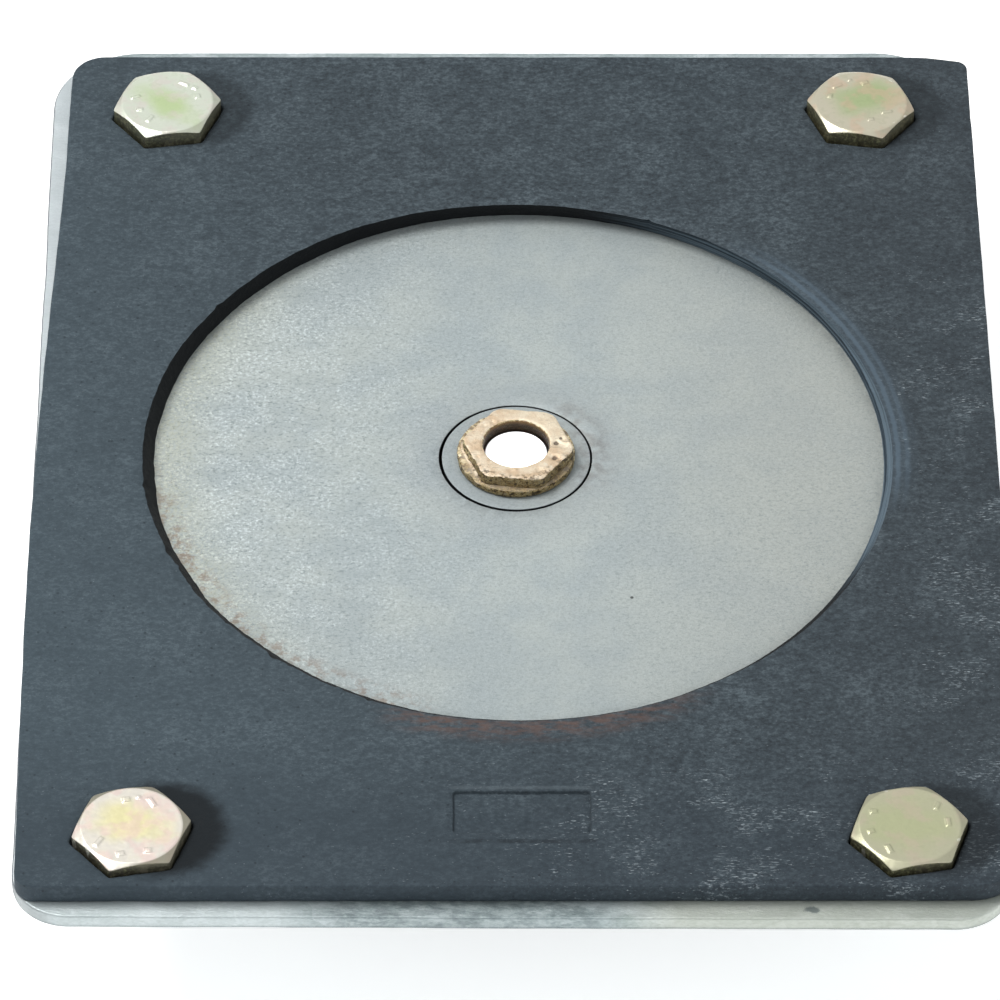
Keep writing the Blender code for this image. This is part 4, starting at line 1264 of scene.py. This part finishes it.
def nut_brass():
    mat = Material("nut_brass_worn")
    times, plus, span, layer = mat.times, mat.plus, mat.span, mat.layer
    normal_z = mat.normal_z()
    x, y, z = mat.xyz()
    radius = mat.radius()
    fine = mat.noise(2.6, detail=6, rough=0.72)
    lump = mat.noise((1.1, 1.1, 1.6), shift=(3, 8, 0), detail=5, rough=0.72)
    patch = mat.noise(0.40, shift=(3, 2, 0), detail=4, rough=0.6)
    mat.base = mat.mix(span(patch, start=0.38, end=0.62), rgb(228, 200, 166), rgb(247, 230, 204))
    layer(span(plus(x, y), start=4, end=10), rgb(252, 240, 214), amount=0.45)
    layer(span(fine, start=0.55, end=0.70), rgb(186, 158, 118), amount=0.40)
    # sides keep their brown film, rubbed bright in places
    side = span(normal_z, start=0.86, end=0.50)
    film = mat.ramp(lump, [(0.42, rgb(46, 34, 14)), (0.485, rgb(118, 96, 50)),
                           (0.53, rgb(206, 182, 126)), (0.59, rgb(255, 244, 204))])
    layer(side, film, amount=0.92)
    collar = times(span(z, start=39.75, end=39.6), span(radius, start=8.9, end=9.4))
    layer(collar, film, amount=0.75)
    # the front edge is chewed
    chewed = times(span(radius, start=8.3, end=9.4), span(y, start=-1.5, end=-5.5),
                   span(lump, start=0.50, end=0.58))
    layer(chewed, rgb(72, 54, 28), amount=0.80)
    # painted shade in the bore, darker with depth
    bore = mat.mix(span(z, start=40.6, end=41.6), rgb(46, 34, 20), rgb(110, 84, 50))
    layer(span(radius, start=6.40, end=6.28), bore)
    # pits and scratches full of dirt
    for pit_radius, bearing, width, _ in NUT_PITS[:3]:
        apart = plus(mat.radius(*polar(pit_radius, bearing)), times(fine, 0.5))
        spot = span(apart, start=0.25 + width * 0.95, end=0.25 + width * 0.45)
        layer(spot, rgb(58, 34, 20), amount=0.88)
    layer(span(mat.pointiness(), start=0.47, end=0.40), rgb(50, 36, 22), amount=0.85)
    scratches = mat.noise((0.35, 2.6, 1.0), turn=24, shift=(2, 5, 0), detail=4, rough=0.6)
    layer(span(scratches, start=0.61, end=0.67), rgb(96, 70, 42), amount=0.50)
    # bright edges, and a duller top face
    layer(span(mat.pointiness(), start=0.54, end=0.62), rgb(255, 246, 226), amount=0.6)
    layer(span(mat.normal_z(), start=0.86, end=0.97, low=0.0, high=0.22), rgb(150, 138, 118))
    relief = plus(times(fine, 0.7), times(lump, plus(0.8, times(side, 2.2))))
    return mat.finish(rough=plus(0.28, times(fine, 0.22)), metal=plus(0.30, times(side, 0.30)),
                      normal=mat.bump(relief, distance=0.24, strength=0.65))


# Colours of each head's middle, rim and blotches, the blotches' strength, the middle's
# shift in X and Y, its bearing, length and width, and how far the bevel is dulled.
ZINC = {
    "front_left": ((238, 230, 180), (232, 226, 214), (240, 208, 202), 0.48,
                   0.0, 0.8, -15, 1.5, 0.9, 0.84),
    "front_right": ((186, 189, 150), (190, 188, 160), (204, 184, 168), 0.40,
                    -0.5, 0.6, 0, 1.7, 1.3, 0.30),
    "rear_left": ((196, 214, 164), (218, 224, 208), (222, 210, 204), 0.45,
                  0.0, -0.4, -42, 1.7, 0.7, 0.36),
    "rear_right": ((176, 190, 142), (204, 198, 176), (214, 184, 158), 0.50,
                   1.4, 1.4, 20, 1.35, 1.0, 0.34),
}


def yellow_zinc(name, seed, corner, centre=None):
    """Yellow zinc; a centre gives it a bolt head's middle, marks and bevel."""
    mat = Material(name)
    times, plus, minus, span, layer = mat.times, mat.plus, mat.minus, mat.span, mat.layer
    middle, rim, blotch, strength, shift_x, shift_y, bearing, length, width, dulled = ZINC[corner]
    middle, rim = rgb(*middle), rgb(*rim)
    normal_z = mat.normal_z()
    x, y, z = mat.xyz()
    fine = mat.noise(1.7, shift=(seed, 0, 0), detail=5, rough=0.65)
    hue = mat.noise(0.16, shift=(seed, 3, 0), detail=3, rough=0.55)
    blotches = mat.noise(0.26, shift=(2, seed, 4), detail=3, rough=0.5)
    if centre is None:
        mat.base = mat.mix(span(hue, start=0.35, end=0.65), middle, rim)
        off_face = 1.0
    else:
        radius = mat.radius(*centre)
        cos, sin = math.cos(math.radians(bearing)), math.sin(math.radians(bearing))
        from_x, from_y = minus(x, centre[0] + shift_x), minus(y, centre[1] + shift_y)
        along = plus(times(from_x, cos / length), times(from_y, sin / length))
        across = plus(times(from_x, -sin / width), times(from_y, cos / width))
        spread = mat.math("SQRT", plus(times(along, along), times(across, across)))
        out = span(plus(spread, times(hue, 6.0)), start=4.6, end=9.8)
        mat.base = mat.mix(out, middle, rim)
        on_face = span(radius, start=8.85, end=8.65)
    layer(span(blotches, start=0.46, end=0.62), rgb(*blotch), amount=strength)
    film = mat.noise(0.7, shift=(seed, 2, 0), detail=2, rough=0.5)
    layer(span(film, start=0.50, end=0.68), times_colour(middle, 0.6), amount=0.14)
    # painted shade on the head's upright sides
    side = mat.ramp(fine, [(0.38, rgb(46, 44, 26)), (0.52, rgb(84, 82, 50)),
                           (0.66, rgb(146, 146, 104))])
    layer(span(normal_z, start=0.60, end=0.25), side, amount=0.88)
    if centre is not None:
        # darker slopes on the raised marks, and a bevel that is dull except at the front left
        layer(times(span(normal_z, start=0.95, end=0.80), on_face), rgb(92, 92, 66), amount=0.40)
        bevel = times(span(radius, start=9.0, end=9.25),
                      span(plus(from_x, times(from_y, 1.0)), start=-11.0, end=-7.0))
        layer(bevel, rgb(146, 142, 122), amount=dulled)
    # darker hollows and painted highlights on edges away from the face: span, colour, strength
    for start, end, colour, amount in ((0.47, 0.42, rgb(86, 84, 56), 0.55),
                                       (0.53, 0.60, rgb(246, 246, 232), 0.45)):
        mask = span(mat.pointiness(), start=start, end=end)
        if centre is not None:
            off_face = minus(1.0, on_face)
        layer(times(mask, off_face), colour, amount=amount)
    # the head goes darker towards its foot, against the pad
    clouds = mat.noise(0.8, shift=(seed, seed, 0), detail=4, rough=0.7)
    foot_dark = times(span(z, start=43.6, end=42.2), span(clouds, start=0.36, end=0.58))
    layer(foot_dark, rgb(40, 38, 26), amount=0.6)
    soft = mat.noise(0.8, shift=(seed, 1, 0), detail=1, rough=0.5)
    relief = plus(times(soft, 0.5), times(hue, 0.8))
    return mat.finish(rough=span(film, start=0.35, end=0.65, low=0.28, high=0.40), metal=0.42,
                      normal=mat.bump(relief, distance=0.08, strength=0.5))


def white_nylon():
    """White plastic with painted light: it glows faintly, more towards its top."""
    mat = Material("white_nylon")
    fine = mat.noise(1.4, detail=4)
    mat.base = mat.mix(fine, rgb(246, 246, 244), rgb(252, 252, 251))
    z = mat.xyz()[2]
    rim = mat.span(mat.radius(), start=5.55, end=5.88)
    mat.layer(rim, rgb(170, 170, 176), amount=0.8)
    glow = mat.times(mat.span(z, start=18.0, end=30.0, low=0.55, high=0.92),
                     mat.minus(1.0, mat.times(rim, 0.85)))
    return mat.finish(rough=0.45, normal=mat.bump(fine, distance=0.04, strength=0.4),
                      emit=(1.0, 1.0, 1.0), emit_strength=glow, sss=0.1, sss_scale=0.002)


def pot_paint():
    """Dark grey paint, rubbed to metal at the foot and chipped."""
    mat = Material("pot_paint")
    times, span, layer = mat.times, mat.span, mat.layer
    fine = mat.noise(1.3, detail=5, rough=0.6)
    patch = mat.noise(0.10, shift=(1, 1, 3), detail=5, rough=0.6)
    mat.base = mat.mix(span(patch, start=0.35, end=0.65), rgb(58, 62, 66), rgb(74, 79, 83))
    layer(span(fine, start=0.52, end=0.68), rgb(96, 101, 104), amount=0.25)
    z = mat.xyz()[2]
    worn = mat.noise(0.4, shift=(5, 0, 0), detail=5, rough=0.7)
    rubbed = times(span(z, start=3.2, end=0.2), span(worn, start=0.44, end=0.58))
    layer(rubbed, rgb(150, 154, 156), amount=0.8)
    chips = span(mat.noise(0.30, shift=(0, 9, 0), detail=6, rough=0.75), start=0.66, end=0.70)
    layer(chips, rgb(136, 138, 138), amount=0.8)
    relief = mat.plus(mat.noise(0.9, shift=(2, 2, 2), detail=2, rough=0.5), times(chips, -0.6))
    return mat.finish(rough=span(fine, start=0.3, end=0.7, low=0.40, high=0.56),
                      metal=times(mat.math("MAXIMUM", rubbed, chips), 0.7),
                      normal=mat.bump(relief, distance=0.12, strength=0.5))


def worked_metal(name, dark, light, rough, scale=0.6, brushed=None, spots=None, bumpy=0.06):
    """Two tones in patches with fine grain; brushed is "round" or the lines' noise scale."""
    mat = Material(name)
    times, plus, span, layer = mat.times, mat.plus, mat.span, mat.layer
    dark, light = rgb(*dark), rgb(*light)
    patch = mat.noise(scale, detail=5, rough=0.62)
    fine = mat.noise(2.4, detail=5, rough=0.65)
    mat.base = mat.mix(span(patch, start=0.34, end=0.66), dark, light)
    layer(span(fine, start=0.54, end=0.70), times_colour(dark, 0.45), amount=0.28)
    relief = times(fine, 0.5)
    bright = times_colour(light, 1.35)
    if brushed == "round":
        lines = mat.math("SINE", plus(times(mat.radius(), 17.0), times(patch, 9.0)))
        layer(span(lines, start=-0.5, end=1.0), bright, amount=0.20)
        relief = plus(relief, times(lines, 0.25))
    elif brushed:
        lines = mat.noise(brushed, detail=3, rough=0.6)
        layer(span(lines, start=0.45, end=0.65), bright, amount=0.35)
        relief = plus(relief, times(lines, 0.7))
    if spots:
        mask = mat.noise(0.7, shift=(4, 4, 4), detail=6, rough=0.75)
        layer(span(mask, start=0.60, end=0.68), rgb(*spots), amount=0.7)
    layer(span(mat.pointiness(), start=0.53, end=0.60), times_colour(light, 1.5), amount=0.4)
    return mat.finish(rough=span(fine, start=0.3, end=0.7, low=rough - 0.06, high=rough + 0.10),
                      metal=0.95, normal=mat.bump(relief, distance=bumpy, strength=0.5))


def soft_material(name, dark, light, rough, fibre):
    mat = Material(name)
    patch = mat.noise(0.4, detail=5, rough=0.6)
    fine = mat.noise(fibre, detail=5, rough=0.7)
    tone = mat.plus(mat.times(patch, 0.5), mat.times(fine, 0.5))
    mat.base = mat.mix(tone, rgb(*dark), rgb(*light))
    return mat.finish(rough=rough, normal=mat.bump(fine, distance=0.12, strength=0.6), spec=0.3)


# ================================================================ build

dress(plate_piece(), galvanised_plate())
dress(pad_piece(), pad_rubber())
dress(lid_piece(), lid_steel("lid_steel"))
dress(hub_piece(), lid_steel("hub_steel", hub=True))
dress(nut_piece(), nut_brass())
dress(liner_piece(), white_nylon())

for index, (corner, (x, y, turn)) in enumerate(BOLTS.items()):
    seed = 3.7 * index + 1.3
    dress(bolt_piece(corner, x, y, turn, seed),
          yellow_zinc("bolt_zinc_" + corner, seed, corner, (x, y)))

spring = worked_metal("spring_steel", (96, 100, 106), (128, 132, 138), rough=0.34,
                      brushed="round")
for corner, (x, y, _) in BOLTS.items():
    dress(keeper_piece(corner, x, y), spring)
dress(circlip_piece(), spring)

dress(pot_piece(), pot_paint())
dress(weld_piece(), worked_metal("weld_steel", (88, 88, 90), (128, 128, 130), rough=0.42,
                                 scale=(0.3, 0.3, 0.6), spots=(120, 78, 52), bumpy=0.14))
ground = worked_metal("ground_steel", (150, 152, 155), (186, 189, 192), rough=0.26,
                      scale=(0.05, 0.05, 0.1), brushed=(0.05, 2.2, 1.0),
                      spots=(128, 110, 92), bumpy=0.05)
brass = worked_metal("spacer_brass", (176, 150, 92), (206, 182, 122), rough=0.30,
                     scale=(0.06, 0.06, 0.1), brushed=(0.05, 2.2, 1.0),
                     spots=(120, 92, 52), bumpy=0.05)
for piece in pole_pieces():
    dress(piece, brass if piece.name.startswith("spacer") else ground)
shaft_steel = worked_metal("shaft_steel", (150, 152, 155), (190, 192, 195), rough=0.22,
                           scale=0.3, brushed="round", bumpy=0.04)
dress(shaft_piece(), shaft_steel)

# the CAD's own hidden pieces keep their shape and get a finished material
magnet = worked_metal("magnet_alloy", (112, 116, 122), (142, 146, 152), rough=0.36,
                      scale=(0.2, 0.2, 0.4), spots=(82, 80, 80))
cage = worked_metal("cage_aluminium", (186, 189, 193), (212, 214, 216), rough=0.34,
                    scale=(0.08, 0.08, 0.2), brushed="round")
machined = worked_metal("machined_steel", (128, 131, 136), (160, 163, 168), rough=0.30,
                        scale=(0.08, 0.08, 0.2), brushed="round")
bronze = worked_metal("bronze", (156, 112, 62), (186, 142, 88), rough=0.36, scale=0.4,
                      brushed="round", spots=(92, 62, 34))
seal = soft_material("seal_rubber", (26, 27, 29), (42, 43, 46), rough=0.6, fibre=1.5)
felt = soft_material("felt", (112, 104, 92), (154, 144, 128), rough=0.95, fibre=(2.5, 2.5, 0.8))
screw_zinc = yellow_zinc("lid_screw_zinc", 9.0, "front_right")
BY_PREFIX = {"fixed_magnet": magnet, "rotor_magnet": magnet, "lid_screw": screw_zinc}
BY_NAME = {"rotor_cage": cage, "rotor_yoke": machined, "drive_key": machined,
           "stop_pin": machined, "lower_bush": bronze, "thrust_washer": bronze,
           "lid_o_ring": seal, "dust_seal": felt}
for name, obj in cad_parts.items():
    if name in BY_NAME:
        dress(obj, BY_NAME[name])
    for prefix, material in BY_PREFIX.items():
        if name.startswith(prefix):
            dress(obj, material)


# ================================================================ studio, in metres

FLOOR_HALF, FLOOR_Z, FLOOR_GLOW = 6.0, -0.0004, 0.62


def studio_floor():
    """A glowing pale floor that can't be seen from below."""
    mesh = bpy.data.meshes.new("studio_floor")
    corners = [(x * FLOOR_HALF, y * FLOOR_HALF, FLOOR_Z)
               for x, y in ((-1, -1), (1, -1), (1, 1), (-1, 1))]
    mesh.from_pydata(corners, [], [(0, 1, 2, 3)])
    obj = bpy.data.objects.new("studio_floor", mesh)
    bpy.context.scene.collection.objects.link(obj)
    mat = Material("studio_floor")
    mat.base = mat.mix(mat.noise(0.02, detail=3), (0.80, 0.80, 0.80), (0.83, 0.83, 0.83))
    mat.finish(rough=0.9, spec=0.0, emit=(1.0, 1.0, 1.0), emit_strength=FLOOR_GLOW)
    geometry = mat.add("NewGeometry")
    clear = mat.add("BsdfTransparent")
    mix = mat.add("MixShader")
    mat.put(mix.inputs[0], geometry.outputs["Backfacing"])
    mat.put(mix.inputs[1], mat.bsdf.outputs[0])
    mat.put(mix.inputs[2], clear.outputs[0])
    mat.put(mat.out.inputs[0], mix.outputs[0])
    dress(obj, mat.material)


def disk_light(name, place, size, watts, colour, target=(0, 0, 0.03)):
    data = bpy.data.lights.new(name, "AREA")
    data.shape = "DISK"
    data.size = size
    data.energy = watts
    data.color = colour
    obj = bpy.data.objects.new(name, data)
    bpy.context.scene.collection.objects.link(obj)
    obj.location = place
    aim = Vector(target) - Vector(place)
    obj.rotation_euler = aim.to_track_quat("-Z", "Y").to_euler()


def studio_world():
    """White to the camera; grey light that brightens upwards for all else."""
    world = bpy.data.worlds.new("studio")
    bpy.context.scene.world = world
    world.use_nodes = True
    tree = world.node_tree
    tree.nodes.clear()
    out, mix, seen, light, coord, split, ramp, height, path = (
        tree.nodes.new("ShaderNode" + kind)
        for kind in ("OutputWorld", "MixShader", "Background", "Background", "TexCoord",
                     "SeparateXYZ", "ValToRGB", "MapRange", "LightPath"))
    seen.inputs["Color"].default_value = (1.0, 1.0, 1.0, 1.0)
    seen.inputs["Strength"].default_value = 1.0
    light.inputs["Strength"].default_value = 1.0
    height.inputs["From Min"].default_value = -1.0
    low, high = ramp.color_ramp.elements
    low.position, low.color = 0.30, (0.30, 0.31, 0.32, 1.0)
    high.position, high.color = 0.85, (0.56, 0.57, 0.58, 1.0)
    for source, target in ((coord.outputs["Generated"], split.inputs[0]),
                           (split.outputs[2], height.inputs["Value"]),
                           (height.outputs[0], ramp.inputs[0]),
                           (ramp.outputs[0], light.inputs[0]),
                           (path.outputs["Is Camera Ray"], mix.inputs[0]),
                           (light.outputs[0], mix.inputs[1]),
                           (seen.outputs[0], mix.inputs[2]),
                           (mix.outputs[0], out.inputs[0])):
        tree.links.new(source, target)


CAMERA_PLACE = (-10.32, -871.56, 873.63)     # mm
CAMERA_DOWN, CAMERA_YAW, CAMERA_ROLL = 44.1723, 0.48291, 0.33898


def studio_camera():
    data = bpy.data.cameras.new("camera")
    data.sensor_width = 36.0
    data.lens = 231.01488
    data.clip_start, data.clip_end = 0.05, 20.0
    camera = bpy.data.objects.new("camera", data)
    bpy.context.scene.collection.objects.link(camera)
    down, yaw, roll = (math.radians(a) for a in (CAMERA_DOWN, CAMERA_YAW, CAMERA_ROLL))
    ahead = Vector((math.sin(yaw) * math.cos(down), math.cos(yaw) * math.cos(down),
                    -math.sin(down)))
    level = Vector((math.cos(yaw), -math.sin(yaw), 0.0))
    upright = level.cross(ahead)
    right = level * math.cos(roll) + upright * math.sin(roll)
    up = upright * math.cos(roll) - level * math.sin(roll)
    turn = Matrix((right, up, -ahead)).transposed()
    camera.matrix_world = Matrix.Translation(Vector(CAMERA_PLACE) * MM) @ turn.to_4x4()
    bpy.context.scene.camera = camera


studio_floor()
disk_light("key", place=(-0.72, 0.24, 1.42), size=0.85, watts=19.0, colour=(1.0, 0.99, 0.975))
disk_light("fill", place=(0.9, -0.9, 0.9), size=0.9, watts=3.0, colour=(0.95, 0.98, 1.0))
studio_world()
studio_camera()
bpy.context.scene.view_settings.view_transform = "Standard"
